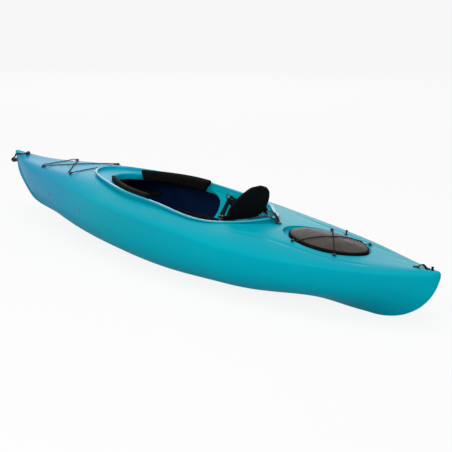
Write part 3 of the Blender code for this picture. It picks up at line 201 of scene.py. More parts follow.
def between(x, rows):
    """Value at x by straight lines through rows of (x, value)."""
    return float(np.interp(x, *zip(*rows)))


def smooth_curve(xs, ys):
    """Natural cubic spline through the given points, as a function of x."""
    xs = np.asarray(xs, float)
    ys = np.asarray(ys, float)
    count = len(xs)
    step = np.diff(xs)
    system = np.eye(count)
    right = np.zeros(count)
    for i in range(1, count - 1):
        system[i, i - 1:i + 2] = step[i - 1], 2 * (step[i - 1] + step[i]), step[i]
        right[i] = 6 * ((ys[i + 1] - ys[i]) / step[i] - (ys[i] - ys[i - 1]) / step[i - 1])
    bend = np.linalg.solve(system, right)

    def value(x):
        x = np.clip(x, xs[0], xs[-1])
        i = np.clip(np.searchsorted(xs, x) - 1, 0, count - 2)
        a = xs[i + 1] - x
        b = x - xs[i]
        h = step[i]
        return ((bend[i] * a ** 3 + bend[i + 1] * b ** 3) / (6 * h) + (ys[i] / h - bend[i] * h / 6) * a
                + (ys[i + 1] / h - bend[i + 1] * h / 6) * b)

    return value


def float_curve(rows):
    """Smooth curve through rows of (x, value), as a function that gives a plain number."""
    curve = smooth_curve(*zip(*rows))
    return lambda x: float(curve(x))


def lengths_along(points):
    """Length of a path from its start to each of its points."""
    return np.r_[0, np.cumsum(np.linalg.norm(np.diff(points, axis=0), axis=1))]


def smooth_path(points, samples, closed=False):
    """Evenly spaced samples of a smooth curve through points."""
    points = np.asarray(points, float)
    if closed:
        points = np.vstack([points[-3:], points, points[:4]])
    lengths = lengths_along(points)
    start, end = (lengths[3], lengths[-4]) if closed else (0.0, lengths[-1])
    at = np.linspace(start, end, samples, endpoint=not closed)
    return np.stack([smooth_curve(lengths, column)(at) for column in points.T], -1)


def capped(moves, most):
    """The moves, with none longer than most."""
    length = np.maximum(np.linalg.norm(moves, axis=1), 1e-9)
    return moves * (np.minimum(length, most) / length)[:, None]


# Hull, cockpit, hatch and backrest as functions of place

beam_line, sheer, ridge_line, bottom_line, fullness = (
    float_curve([(row[0], row[column]) for row in HULL_LINES]) for column in range(1, 6))
KEEL_POINTS = smooth_path(KEEL_LINE, 480)


def tip_share(x):
    """One along the whole hull, falling off in a quarter circle towards both tips."""
    share = clamped((min(x - STERN_X, BOW_X - x) + 0.0015) / TIP_ROUNDING)
    return math.sqrt(1 - (1 - share) ** 2)


def half_beam(x):
    return beam_line(x) * tip_share(x)


def ridge(x):
    """Height of the deck along its middle."""
    return sheer(x) + (ridge_line(x) - sheer(x)) * math.sqrt(tip_share(x))


def keel_height(x):
    """Height of the keel, skeg or stem on the centre plane."""
    return float(np.interp(x, KEEL_POINTS[:, 0], KEEL_POINTS[:, 1]))


def bottom(x):
    """Lowest height of the hull's body, without the skeg and stem below it."""
    at_tip = min(keel_height(x), sheer(x) - TIP_DEPTH) if abs(x) > TIP_X else -1.0
    return max(bottom_line(x), at_tip)


def deck_crown(x, share):
    """One on the ridge, falling off to nothing at the sheer: flatter over the foredeck."""
    return max(1 - abs(share) ** between(x, DECK_CROWN_POWERS), 0.0) ** DECK_SHOULDER


def deck_height(x, y):
    """Height of the deck's outer surface."""
    share = min(abs(y) / half_beam(x), 1.0)
    return sheer(x) + (ridge(x) - sheer(x)) * deck_crown(x, share)


def hull_half_width(x, z):
    """Half width of the hull's outside at height z."""
    power = fullness(x)
    share = clamped((sheer(x) - z) / (sheer(x) - bottom(x)))
    return half_beam(x) * (1 - share ** power) ** (1 / power)


def coaming_curve(samples):
    """Lip points, opening points and lip heights round the cockpit, port side first."""
    half = [list(row) for row in COAMING]
    mirror = [[a, -b, c, -d, e] for a, b, c, d, e in half[-2:0:-1]]
    return smooth_path(half + mirror, samples, closed=True)


PORT_HALF = coaming_curve(480)[:241]
lip_height = float_curve(PORT_HALF[::-8, [0, 4]])
pan_reach = float_curve(PAN_FRONT)


def opening_half_width(x):
    """Half width of the cockpit's clear opening."""
    return float(np.interp(x, PORT_HALF[::-1, 2], PORT_HALF[::-1, 3]))


def pan_height(x, y):
    """Height of the seat pan's upper side: a rounded well between flat flanges."""
    share = min(abs(y) / opening_half_width(x), 1.0)
    rear, front = PAN_BACK_X
    flange = lip_height(x) - PAN_DROP
    return flange - (flange - PAN_BOTTOM) * (1 - share ** 1.6) * eased((x - rear) / (front - rear))


def hatch_outline(grow, count, ahead=0.0):
    """Oval of the hatch lid in plan, grown by a margin and drawn out ahead."""
    half_length = HATCH_LENGTH / 2 + grow + ahead
    half_width = HATCH_WIDTH / 2 + grow
    outline = []
    for i in range(count):
        angle = 2 * math.pi * (i + 0.5) / count
        along = signed_power(math.cos(angle), 2 / HATCH_ROUNDNESS)
        across = signed_power(math.sin(angle), 2 / HATCH_ROUNDNESS)
        outline.append((HATCH_X + ahead + half_length * along, half_width * across))
    return outline


def hatch_floor(x):
    return HATCH_FLOOR + HATCH_SLOPE * (x - HATCH_X)


def hatch_inset(x, y):
    """How far inside the lid's outline a point lies, negative outside it."""
    low, high = -0.10, HATCH_WIDTH / 2 - 0.0005
    for _ in range(30):
        middle = (low + high) / 2
        reach = (abs((x - HATCH_X) / (HATCH_LENGTH / 2 - middle)) ** HATCH_ROUNDNESS
                 + abs(y / (HATCH_WIDTH / 2 - middle)) ** HATCH_ROUNDNESS)
        if reach < 1.0:
            low = middle
        else:
            high = middle
    return low


def dome_height(share):
    """Height of the lid's dome over the hatch floor, from its rim at 0 to its middle at 1."""
    return HATCH_RIM + (HATCH_DOME - HATCH_RIM) * math.sin(math.pi / 2 * share)


def lid_height(x, y):
    """Upper side of the lid's dome, or of the deck beside it."""
    inset = hatch_inset(x, y)
    if inset <= -0.0035:
        return post_pad_height(x, y) - 0.0015
    levels = [(-0.0035, HATCH_RIM - 0.0035), (0.0, HATCH_RIM - 0.0020), (0.005, HATCH_RIM)]
    levels += [(HATCH_WIDTH / 2 * share, dome_height(share)) for share in LID_LEVELS]
    return hatch_floor(x) + between(inset, levels)


def post_pad_height(x, y):
    """Top of the flat pad that carries a cord post."""
    return deck_height(x, abs(y) - POST_PAD) + POST_PAD_RISE


def post_places():
    ends = zip(("front", "rear"), POSTS)
    return {f"{word}_{end}": (x, side * y) for end, (x, y) in ends for side, word in SIDES}


def on_deck(x, y, lift, heading):
    """Frame on the deck: Z along the deck's normal, X near the heading angle in plan."""
    step = 0.004
    along = Vector((2 * step, 0, deck_height(x + step, y) - deck_height(x - step, y)))
    side = Vector((0, 2 * step, deck_height(x, y + step) - deck_height(x, y - step)))
    normal = along.cross(side).normalized()
    forward = Vector((math.cos(heading), math.sin(heading), 0))
    forward = (forward - normal * forward.dot(normal)).normalized()
    place = Vector((x, y, deck_height(x, y))) + normal * lift
    turn = Matrix((forward, normal.cross(forward), normal)).transposed().to_4x4()
    return Matrix.Translation(place) @ turn


BACK_UP = Vector((-math.sin(BACK_RECLINE), 0, math.cos(BACK_RECLINE)))
BACK_AHEAD = Vector((math.cos(BACK_RECLINE), 0, math.sin(BACK_RECLINE)))
PIVOT = Vector((BACK_PIVOT[0], 0, BACK_PIVOT[1]))
BACK_LOW, BACK_HIGH = BACK_HALF_WIDTHS[0][0], BACK_HALF_WIDTHS[-1][0]
back_half_width = float_curve(BACK_HALF_WIDTHS)


def back_wrap(y):
    """How far the backrest curves ahead beside its middle."""
    return BACK_WRAP * (y / BACK_WIDEST) ** 2


def back_point(height, y, ahead):
    """Point of the backrest: height above the pivot along it, sideways, and ahead of its middle plane."""
    return PIVOT + BACK_UP * height + BACK_AHEAD * (BACK_SET + ahead + back_wrap(y)) + Vector((0, y, 0))


def back_depth(point):
    """How far a point lies ahead of the backrest's middle plane."""
    return (point - PIVOT).dot(BACK_AHEAD) - BACK_SET - back_wrap(point.y)


def back_swell(share, level):
    """One over the middle of the backrest, falling off to its edges."""
    return (1 - abs(share) ** 6) * (1 - abs(2 * level - 1) ** 8)


def back_grid(heights, columns, margin, surface):
    """Grid over the backrest's outline; surface(share across, share up) gives the distance ahead."""
    low, high = BACK_LOW + margin, BACK_HIGH - margin
    shares = [math.sin(math.pi / 2 * column) for column in np.linspace(-1, 1, columns)]
    grid = []
    for level in np.linspace(0, 1, heights):
        height = low + (high - low) * math.sin(math.pi / 2 * level) ** 1.1
        half_width = max(back_half_width(height) - margin, 0.006)
        grid.append([back_point(height, share * half_width, surface(share, level)) for share in shares])
    return grid


def back_border(inset, ahead, low_inset=0.0):
    """Points along the backrest's edge from the port foot over the top to the starboard foot."""
    low, high = BACK_LOW + low_inset, BACK_HIGH - inset
    heights = [low + (high - low) * math.sin(math.pi / 2 * share) for share in np.linspace(0, 1, 120)]
    half = [(height, max(back_half_width(height) - inset, 0.0)) for height in heights]
    half = [row for row in half if row[1] > 0.001] + [(high, 0.0)]
    starboard = [back_point(height, -y, ahead) for height, y in reversed(half[:-1])]
    return [back_point(height, y, ahead) for height, y in half] + starboard


# Mesh helpers

def configure(thing, **settings):
    for key, value in settings.items():
        setattr(thing, key, value)
    return thing


def new_object(name, data):
    thing = bpy.data.objects.new(name, data)
    bpy.context.scene.collection.objects.link(thing)
    return thing


def smooth_shading(thing, crease=35):
    thing.data.shade_smooth()
    thing.data.set_sharp_from_angle(angle=math.radians(crease))


def mesh_object(name, points, faces, materials, crease=35):
    """Makes an object with its faces turned outwards."""
    mesh = bpy.data.meshes.new(name)
    mesh.from_pydata(np.asarray(points, float).tolist(), [], faces)
    work = bmesh.new()
    work.from_mesh(mesh)
    bmesh.ops.recalc_face_normals(work, faces=work.faces)
    if work.calc_volume(signed=True) < 0:
        bmesh.ops.reverse_faces(work, faces=work.faces)
    work.to_mesh(mesh)
    work.free()
    for item in materials:
        mesh.materials.append(item)
    thing = new_object(name, mesh)
    smooth_shading(thing, crease)
    return thing


def loft(name, rings, materials, closed_path=False, crease=35):
    """Skin over rings of equal point counts, capped at both ends unless the path is closed."""
    rings = np.asarray(rings, float)
    total, count = rings.shape[:2]
    faces = []
    for i in range(total if closed_path else total - 1):
        a = i * count
        b = (i + 1) % total * count
        for j in range(count):
            k = (j + 1) % count
            faces.append((a + j, a + k, b + k, b + j))
    if not closed_path:
        faces += [tuple(range(count)), tuple(range((total - 1) * count, total * count))]
    return mesh_object(name, rings.reshape(-1, 3), faces, materials, crease)


def sheet_solid(name, upper, lower, materials, crease=35):
    """Closed solid between two grids of points with the same rows and columns."""
    grids = np.asarray((upper, lower), float)
    rows, columns = grids.shape[1:3]
    under = rows * columns
    faces = []
    for i in range(rows - 1):
        for j in range(columns - 1):
            a = i * columns + j
            quad = (a, a + 1, a + columns + 1, a + columns)
            faces += [quad, tuple(under + q for q in reversed(quad))]
    border = [(0, j) for j in range(columns - 1)] + [(i, columns - 1) for i in range(rows - 1)]
    border += [(rows - 1, j) for j in range(columns - 1, 0, -1)] + [(i, 0) for i in range(rows - 1, 0, -1)]
    ring = [i * columns + j for i, j in border]
    faces += [(b, a, under + a, under + b) for a, b in zip(ring, ring[1:] + ring[:1])]
    return mesh_object(name, grids.reshape(-1, 3), faces, materials, crease)


def apply_modifiers(thing):
    bpy.context.view_layer.update()
    view = bpy.context.evaluated_depsgraph_get()
    old = thing.data
    result = bpy.data.meshes.new_from_object(thing.evaluated_get(view))
    thing.modifiers.clear()
    thing.data = result
    bpy.data.meshes.remove(old)


def combine(target, tool, operation):
    """Runs an exact Boolean on target and deletes the tool."""
    configure(target.modifiers.new("step", "BOOLEAN"), operation=operation, solver="EXACT", object=tool)
    apply_modifiers(target)
    bpy.data.objects.remove(tool)


def cut(target, tool):
    combine(target, tool, "DIFFERENCE")


def join(target, tool):
    combine(target, tool, "UNION")


def bevel(thing, width):
    configure(thing.modifiers.new("edge", "BEVEL"), width=width, segments=2, limit_method="ANGLE",
              angle_limit=math.radians(50))


def turned(name, place, upright, profile, materials, sides, crease=35):
    """Round solid from (radius, height) pairs along the upright direction from a place."""
    turn = Matrix.Translation(place) @ upright.to_track_quat("Z", "Y").to_matrix().to_4x4()
    angles = [2 * math.pi * i / sides for i in range(sides)]
    rings = [[turn @ Vector((radius * math.cos(a), radius * math.sin(a), height)) for a in angles]
             for radius, height in profile]
    return loft(name, rings, materials, crease=crease)


def round_bar(start, end, radius, materials):
    along = Vector(end) - Vector(start)
    return turned("bar", Vector(start), along, ((radius, 0.0), (radius, along.length)), materials, 32)


def into_frame(thing):
    """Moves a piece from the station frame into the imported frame."""
    thing.data.transform(Matrix.Translation((-CENTRE_X, 0, 0)))
    return thing


# Materials

class Tree:
    """Adds nodes to the node tree of a material or world."""

    def __init__(self, owner):
        owner.use_nodes = True
        self.nodes = owner.node_tree.nodes
        self.links = owner.node_tree.links

    def feed(self, socket, value):
        """Links an output into the socket, or sets the socket to a number, colour or vector."""
        if isinstance(value, bpy.types.NodeSocket):
            self.links.new(value, socket)
        else:
            socket.default_value = value

    def add(self, kind, output, inputs, **settings):
        """Adds a node with its settings and inputs, and returns one of its outputs."""
        node = configure(self.nodes.new("ShaderNode" + kind), **settings)
        for key, value in inputs.items():
            self.feed(node.inputs[key], value)
        return node.outputs[output]

    def math(self, operation, a, b=0.0):
        return self.add("Math", "Value", {0: a, 1: b}, operation=operation)

    def ramp(self, value, low, high, start=0.0, end=1.0):
        inputs = {"Value": value, "From Min": low, "From Max": high, "To Min": start, "To Max": end}
        return self.add("MapRange", "Result", inputs, interpolation_type="SMOOTHSTEP")

    def seen(self):
        """One where the camera or a reflection sees it, nothing where it lights the object."""
        rays = self.nodes.new("ShaderNodeLightPath").outputs
        either = self.math("MAXIMUM", rays["Is Camera Ray"], rays["Is Transmission Ray"])
        return self.math("MAXIMUM", either, rays["Is Glossy Ray"])


class Looks(Tree):
    """Small builder for one procedural material."""

    def __init__(self, name, colour, roughness, metallic=0.0):
        self.material = bpy.data.materials.new(name)
        super().__init__(self.material)
        self.material.diffuse_color = (*colour, 1.0)
        self.shader = self.nodes["Principled BSDF"]
        self.set(Base_Color=(*colour, 1.0), Roughness=roughness, Metallic=metallic)
        self.place = self.nodes.new("ShaderNodeTexCoord").outputs["Object"]
        self.reliefs = {}

    def set(self, **values):
        """Sets or links inputs of the shader."""
        for key, value in values.items():
            self.feed(self.shader.inputs[key.replace("_", " ")], value)

    def stretched(self, *scale):
        """Object coordinates stretched along the axes."""
        return self.add("Mapping", "Vector", {"Scale": scale, "Vector": self.place})

    def noise(self, scale, detail=2.0, roughness=0.5, vector=None):
        inputs = {"Scale": scale, "Detail": detail, "Roughness": roughness, "Vector": vector or self.place}
        return self.add("TexNoise", "Fac", inputs)

    def wave(self, scale, axis):
        inputs = {"Scale": scale, "Vector": self.place}
        return self.add("TexWave", "Fac", inputs, wave_type="BANDS", bands_direction=axis, wave_profile="SIN")

    def axis(self, name):
        return self.add("SeparateXYZ", name, {0: self.place})

    def mix(self, factor, a, b):
        """Colour mix; a and b are colours or sockets, in the node's sixth and seventh inputs."""
        a, b = ((*value, 1.0) if isinstance(value, tuple) else value for value in (a, b))
        return self.add("Mix", 2, {"Factor": factor, 6: a, 7: b}, data_type="RGBA")

    def bump(self, height, distance, strength):
        """Adds a relief over those before it."""
        inputs = {"Distance": distance, "Strength": strength, "Height": height}
        self.reliefs = {"Normal": self.add("Bump", "Normal", {**inputs, **self.reliefs})}
        self.set(**self.reliefs)


def shell_plastic():
    """Rotomoulded polyethylene: soft gloss, faint orange peel, keel scuffs and painted shade on the lower hull.
    """
    look = Looks("shell_plastic", (0.0, 0.40, 0.50), 0.34)
    height = look.axis("Z")
    body = look.mix(look.ramp(look.axis("X"), 0.2, 1.1), (0.0, 0.400, 0.500), (0.0, 0.340, 0.590))
    # painted shade: the colour darkens towards the bottom of the hull, where less light reaches;
    # the same height mask also roughens the gloss down there
    low = look.ramp(height, 0.200, 0.040)
    body = look.mix(look.math("MULTIPLY", low, 0.75), body, (0.0, 0.270, 0.350))
    cloud = look.ramp(look.noise(2.2, 3.0), 0.35, 0.65)
    body = look.mix(look.math("MULTIPLY", cloud, 0.22), body, (0.0, 0.300, 0.440))
    fine = look.noise(14.0, 4.0, 0.6, look.stretched(0.35, 1.0, 1.0))
    worn = look.math("MULTIPLY", look.ramp(height, 0.045, 0.0), look.ramp(fine, 0.52, 0.70))
    body = look.mix(look.math("MULTIPLY", worn, 0.30), body, (0.05, 0.36, 0.44))
    streak = look.noise(40.0, 2.0, 0.5, look.stretched(0.08, 1.0, 1.0))
    rough = look.math("ADD", look.ramp(streak, 0.3, 0.7, 0.31, 0.37), look.math("MULTIPLY", worn, 0.25))
    rough = look.math("ADD", rough, look.math("MULTIPLY", low, 0.20))
    look.bump(look.noise(420.0), 0.00006, 0.4)
    look.bump(look.noise(7.0, 1.0), 0.0008, 0.3)
    look.set(Base_Color=body, Roughness=rough, Specular_Tint=(0.35, 0.85, 1.0, 1.0),
             Specular_IOR_Level=look.ramp(height, 0.120, 0.330, 0.015, 0.085))
    return look.material


def plain_look(name, base, mottle, gloss, reliefs, metallic=0.0, **shader):
    """Material with a mottled colour, an uneven gloss and fine reliefs, all from noise.

    base: colour and roughness. mottle: the noise's scale, detail and perhaps roughness, the range that shows,
    and two colours. gloss: the noise's scale, two roughnesses and perhaps a stretch. Each relief: scale,
    detail, depth and strength.
    """
    look = Looks(name, *base, metallic)
    noise, shown, dark, light = mottle
    look.set(Base_Color=look.mix(look.ramp(look.noise(*noise), *shown), dark, light), **shader)
    if gloss:
        scale, low, high, *stretch = gloss
        along = look.stretched(*stretch, 1.0, 1.0) if stretch else None
        look.set(Roughness=look.ramp(look.noise(scale, vector=along), 0.3, 0.7, low, high))
    for scale, detail, depth, strength in reliefs:
        look.bump(look.noise(scale, detail), depth, strength)
    return look.material


def weave(name, dark, light, pitch, roughness, depth):
    """Plain weave: threads crossed in whichever plane the surface faces."""
    look = Looks(name, dark, roughness)
    per_metre = 2 * math.pi / pitch / 20
    waves = [look.wave(per_metre, axis) for axis in "XYZ"]
    split = look.nodes.new("ShaderNodeSeparateXYZ")
    look.feed(split.inputs[0], look.nodes.new("ShaderNodeTexCoord").outputs["Normal"])
    weights = [look.math("POWER", look.math("ABSOLUTE", split.outputs[axis]), 4.0) for axis in "XYZ"]
    total = look.math("ADD", look.math("ADD", weights[0], weights[1]), weights[2])
    threads = None
    for number, weight in enumerate(weights):
        crossed = look.math("MULTIPLY", waves[(number + 1) % 3], waves[(number + 2) % 3])
        part = look.math("MULTIPLY", crossed, look.math("DIVIDE", weight, total))
        threads = look.math("ADD", threads, part) if threads else part
    fuzz = look.noise(2200.0)
    tone = look.math("MULTIPLY", look.ramp(threads, 0.05, 0.70), look.ramp(fuzz, 0.25, 0.65, 0.5, 1.0))
    wear = look.ramp(look.noise(8.0, 3.0), 0.45, 0.75, 0.0, 0.3)
    look.bump(threads, depth, 0.8)
    look.bump(fuzz, depth * 0.4, 0.5)
    look.set(Base_Color=look.mix(wear, look.mix(tone, dark, light), light), Specular_IOR_Level=0.10,
             Roughness=look.ramp(fuzz, 0.3, 0.7, roughness - 0.06, min(roughness + 0.06, 1.0)))
    return look.material


SHELL = shell_plastic()
# the same plastic along the coaming's lip, rubbed smooth by hands and spray covers
RIM = plain_look(
    "rim_plastic", ((0.0, 0.38, 0.50), 0.24),
    ((9.0, 3.0), (0.3, 0.7), (0.0, 0.350, 0.480), (0.020, 0.400, 0.520)),
    (60.0, 0.20, 0.28, 0.3), ((300.0, 2.0, 0.00005, 0.4),),
    Specular_IOR_Level=0.55, Specular_Tint=(0.60, 0.90, 1.0, 1.0))
# painted shade: the inside of the shell, coloured near-black navy for the shade within the hull, and duller
SHADED_INSIDE = plain_look(
    "shell_inside_painted_shade", ((0.0, 0.022, 0.075), 0.75),
    ((9.0, 3.0), (0.3, 0.7), (0.0, 0.012, 0.060), (0.0, 0.022, 0.085)),
    None, ((160.0, 3.0, 0.0003, 0.5),), Specular_IOR_Level=0.15)
BLACK = plain_look(
    "black_plastic", ((0.014, 0.014, 0.015), 0.42),
    ((40.0, 3.0), (0.35, 0.65), (0.010, 0.010, 0.011), (0.020, 0.020, 0.022)),
    (120.0, 0.36, 0.50), ((1600.0, 2.0, 0.00006, 0.6),))
# smoked lid with a soft gloss and a faint mottling
LID = plain_look(
    "lid_plastic", ((0.105, 0.088, 0.082), 0.42),
    ((18.0, 4.0, 0.6), (0.32, 0.68), (0.034, 0.030, 0.026), (0.058, 0.050, 0.044)),
    (70.0, 0.38, 0.48), ((600.0, 2.0, 0.00005, 0.4), (14.0, 1.0, 0.0006, 0.3)), Specular_IOR_Level=0.15)
RUBBER = plain_look(
    "rubber", ((0.008, 0.0075, 0.007), 0.80),
    ((55.0, 3.0), (0.35, 0.65), (0.0035, 0.0034, 0.0032), (0.0075, 0.0070, 0.0065)),
    (90.0, 0.62, 0.80), ((900.0, 3.0, 0.00010, 0.7),), Specular_IOR_Level=0.05)
FABRIC = weave("fabric", (0.0012, 0.0014, 0.0018), (0.0045, 0.0048, 0.0056), 0.0016, 0.90, 0.00035)
WEBBING = weave("webbing", (0.004, 0.004, 0.005), (0.016, 0.016, 0.018), 0.0022, 0.85, 0.00045)
BRAID = weave("braid", (0.008, 0.009, 0.010), (0.030, 0.032, 0.035), 0.0024, 0.70, 0.00040)
STEEL = plain_look(
    "steel", ((0.20, 0.20, 0.21), 0.40),
    ((90.0, 3.0), (0.3, 0.7), (0.16, 0.16, 0.17), (0.26, 0.26, 0.27)),
    (500.0, 0.26, 0.42), ((1500.0, 2.0, 0.00004, 0.4),), metallic=1.0)
FOAM = plain_look(
    "foam", ((0.30, 0.30, 0.31), 0.95),
    ((400.0, 3.0), (0.3, 0.7), (0.24, 0.24, 0.25), (0.36, 0.36, 0.37)),
    None, ((700.0, 3.0, 0.0004, 0.8),))
THREAD = weave("thread", (0.030, 0.030, 0.034), (0.070, 0.070, 0.078), 0.0006, 0.75, 0.0001)


# Shell

# distances of the first and last stations from the tips, and the spacing of those between
END_STEPS = (0.000, 0.0015, 0.003, 0.006, 0.010, 0.015, 0.022, 0.030, 0.040, 0.052, 0.066)
STATION_SPACING = 0.018
# extra points of the side just below the sheer, and the most that rounding moves the edge there
SHEER_DROPS = (0.0018, 0.0042, 0.0072, 0.0110, 0.0160)
SHEER_ROUNDING = 0.0022
SHEER_REACH = 0.012
SHEER_PASSES = 24
# the sections behind this station are smoothed around the skeg, so many times
SKEG_FRONT_X = -0.80
SKEG_PASSES = 8
# moulded groove in the rear deck, from past the hatch to the cockpit: station, distance from the middle
GROOVE = ((-1.260, 0.095), (-1.100, 0.142), (-1.000, 0.163), (-0.830, 0.178), (-0.750, 0.181),
          (-0.640, 0.190), (-0.560, 0.208), (-0.460, 0.238), (-0.400, 0.258))
GROOVE_DEPTH = 0.0036
GROOVE_WIDTH = 0.0085
# where the groove ends at its rear and its front, and over what length it fades out there
GROOVE_ENDS = ((-1.25, 0.12), (-0.43, 0.06))
GROOVE_OFFSETS = (-0.018, -0.012, -0.008, -0.004, 0.0, 0.004, 0.008, 0.012, 0.018)
# heights between which the deck is cut out inside the coaming and for the plug
COCKPIT_CUT = (0.20, 0.45)
PLUG_CUT = (0.22, 0.32)
# width of the black rim round the lid
RIM_MARGIN = 0.0092
# numbers of points round the deck and side, of the hollow's stations and of the coaming's sections
STATION_COUNTS = {"deck": 45, "hollow deck": 31, "side": 26, "hollow side": 22, "hollow": 90, "coaming": 180}
BOTH = [SHELL, SHADED_INSIDE]


def stations():
    start = STERN_X + END_STEPS[-1] + STATION_SPACING
    middle = np.arange(start, BOW_X - END_STEPS[-1] - STATION_SPACING / 2, STATION_SPACING)
    bow = [BOW_X - step for step in reversed(END_STEPS)]
    return [STERN_X + step for step in END_STEPS] + list(middle) + bow


def side_point(beam, top, depth, power, angle):
    """Point of a rounded side, from its top at the angle 0 down to its bottom at a quarter turn."""
    return beam * math.cos(angle) ** (2 / power), top - depth * math.sin(angle) ** (2 / power)


def across_shares(count):
    """Places across the deck from 1 to -1, closer towards both sides."""
    return [signed_power(math.cos(math.pi * i / (count - 1)), 0.85) for i in range(count)]


def closed_ring(x, top, side, keel):
    """Ring at a station from its deck points, port side points and keel height."""
    up = [(x, y, z) for y, z in reversed(side)]
    return top + [(x, -y, z) for y, z in side] + [(x, 0.0, keel)] + up


def faired(section, share):
    """Fills the hollow between bilge and skeg of a half section, wholly where share is 1."""
    if share == 0:
        return section
    kept = []
    for y, z in section:
        while len(kept) > 1:
            (y1, z1), (y2, z2) = kept[-2:]
            if (y2 - y1) * (z - z2) - (z2 - z1) * (y - y2) < 0:
                break
            kept.pop()
        kept.append((y, z))
    widths, heights = zip(*reversed(kept))
    return [[y + share * max(float(np.interp(z, heights, widths)) - y, 0.0), z] for y, z in section]


def half_section(x):
    """Port half of the outer section, from the sheer down to the keel."""
    beam, top, power = half_beam(x), sheer(x), fullness(x)
    depth = top - bottom(x)
    root = min(KEEL_HALF_WIDTH, 0.4 * beam)
    last = math.acos((root / beam) ** (power / 2))
    count = STATION_COUNTS["side"]
    angles = [last * i / (count - 1) for i in range(1, count)]
    drops = [min(drop, 0.02 * depth * number) for number, drop in enumerate(SHEER_DROPS, 1)]
    angles += [math.asin((drop / depth) ** (power / 2)) for drop in drops]
    section = [side_point(beam, top, depth, power, angle) for angle in sorted(angles)]
    body = section[-1][1]
    keel = min(keel_height(x), body)
    for t in (0.2, 0.4, 0.6, 0.8, 1.0):
        section.append((root * (1 - 0.78 * t ** 0.7), body + (keel - body) * eased(t)))
    share = eased((FAIRING[0] - x) / (FAIRING[0] - FAIRING[1]))
    section = np.asarray(faired(section, share))
    for _ in range(SKEG_PASSES if x < SKEG_FRONT_X else 0):
        section[-11:-1] = (section[-12:-2] + 2 * section[-11:-1] + section[-10:]) / 4
    return [(y, max(z, 0.0)) for y, z in section.tolist()]


def groove_depth(x, y):
    """Depth of the groove, which fades out at both ends."""
    (rear, rear_fade), (front, front_fade) = GROOVE_ENDS
    fade = clamped((x - rear) / rear_fade) * clamped((front - x) / front_fade)
    away = abs(y) - between(x, GROOVE)
    return GROOVE_DEPTH * fade * math.exp(-(away / GROOVE_WIDTH) ** 2)


def deck_points(x):
    """Deck from the port sheer to the starboard sheer, with closer points across the groove."""
    beam = half_beam(x)
    shares = across_shares(STATION_COUNTS["deck"])
    middle = min(between(x, GROOVE), beam * 0.8)
    for offset in GROOVE_OFFSETS:
        share = min(max((middle + offset) / beam, 0.02), 0.97)
        shares += [share, -share]
    places = [beam * share for share in sorted(shares, reverse=True)]
    return [(x, y, deck_height(x, y) - groove_depth(x, y)) for y in places]


def outer_ring(x):
    """Outside of the shell at a station, with the edge between deck and side rounded."""
    port = half_section(x)
    ring = np.asarray(closed_ring(x, deck_points(x), port, port[-1][1]))
    away = np.hypot(np.abs(ring[:, 1]) - half_beam(x), ring[:, 2] - sheer(x))
    reach = min(SHEER_REACH, half_beam(x) * 0.4) + 1e-6
    pull = 0.9 * np.exp(-(away / reach) ** 2)[:, None]
    rounded = ring
    for _ in range(SHEER_PASSES):
        beside = (np.roll(rounded, 1, axis=0) + np.roll(rounded, -1, axis=0)) / 2
        rounded = rounded + pull * (beside - rounded)
    return ring + capped(rounded - ring, SHEER_ROUNDING)


def hollow_ring(x):
    """Inside of the shell at a station."""
    beam, top = half_beam(x) - WALL, sheer(x)
    rise = ridge(x) - WALL - top
    low = max(bottom(x), 0.0) + WALL
    shares = across_shares(STATION_COUNTS["hollow deck"])
    deck = [(x, beam * share, top + rise * deck_crown(x, share)) for share in shares]
    count = STATION_COUNTS["hollow side"]
    angles = [math.pi / 2 * i / count for i in range(1, count)]
    side = [side_point(beam, top, top - low, fullness(x), angle) for angle in angles]
    return closed_ring(x, deck, side, low)


def coaming_section(row):
    """Closed section of the coaming: lip, outer wall, shelf and the rolled edge of the opening."""
    lip = Vector((row[0], row[1], row[4]))
    inner = Vector((row[2], row[3], row[4]))
    inward = (inner - lip).normalized()
    reach = (inner - lip).length
    section = (
        (0.0008, -LIP_DEPTH), (0.0000, -LIP_DEPTH + 0.0012), (0.000, -0.0034), (0.0006, -0.0016),
        (0.0018, -0.0004), (0.0034, 0.000), (LIP_WIDTH - 0.001, 0.000), (0.0155, -0.0010), (0.0168, -0.0030),
        (0.0174, -0.0065), (0.0180, -SHELF_DROP + 0.004), (0.0196, -SHELF_DROP + 0.001),
        (0.0225, -SHELF_DROP - 0.0004), (reach - 0.012, -SHELF_DROP - 0.0016),
        (reach - 0.006, -SHELF_DROP - 0.0026), (reach - 0.0022, -0.0212), (reach - 0.0006, -0.0240),
        (reach, -0.0290),
        (reach, -OPENING_DROP + 0.0015), (reach - 0.0015, -OPENING_DROP), (reach - 0.004, -OPENING_DROP),
        (reach - 0.005, -0.029), (reach - 0.010, -SHELF_DROP - 0.006), (COAMING_WALL_IN, -SHELF_DROP - 0.004),
        (COAMING_WALL_IN, -COAMING_FOOT), (COAMING_WALL_OUT, -COAMING_FOOT),
        (COAMING_WALL_OUT, -LIP_DEPTH - 0.0015), (COAMING_WALL_OUT - 0.0015, -LIP_DEPTH),
    )
    return [lip + inward * along + Vector((0, 0, height)) for along, height in section]


def inside_lip(row, distance):
    """Place in plan at a distance inwards from the outside of the coaming's lip."""
    lip = Vector(row[0:2])
    return lip + (Vector(row[2:4]) - lip).normalized() * distance


def hatch_rings(levels, count, ahead=0.0):
    """Rings round the hatch's oval from rows of (growth of the outline, height above its sloping floor)."""
    return [[(x, y, hatch_floor(x) + height) for x, y in hatch_outline(grow, count, ahead)]
            for grow, height in levels]


def hatch_slab(levels, ahead=0.0):
    return loft("slab", hatch_rings(levels, 96, ahead), BOTH)


def paint_lip(shell, rows):
    """Gives the faces on top of the coaming's lip the rubbed plastic."""
    shell.data.materials.append(RIM)
    near = KDTree(len(rows))
    for number, row in enumerate(rows):
        near.insert((*inside_lip(row, LIP_WIDTH / 2), row[4]), number)
    near.balance()
    for face in shell.data.polygons:
        point, _, away = near.find(face.center)
        if away < 0.012 and face.center.z > point.z - 0.0045:
            face.material_index = 2


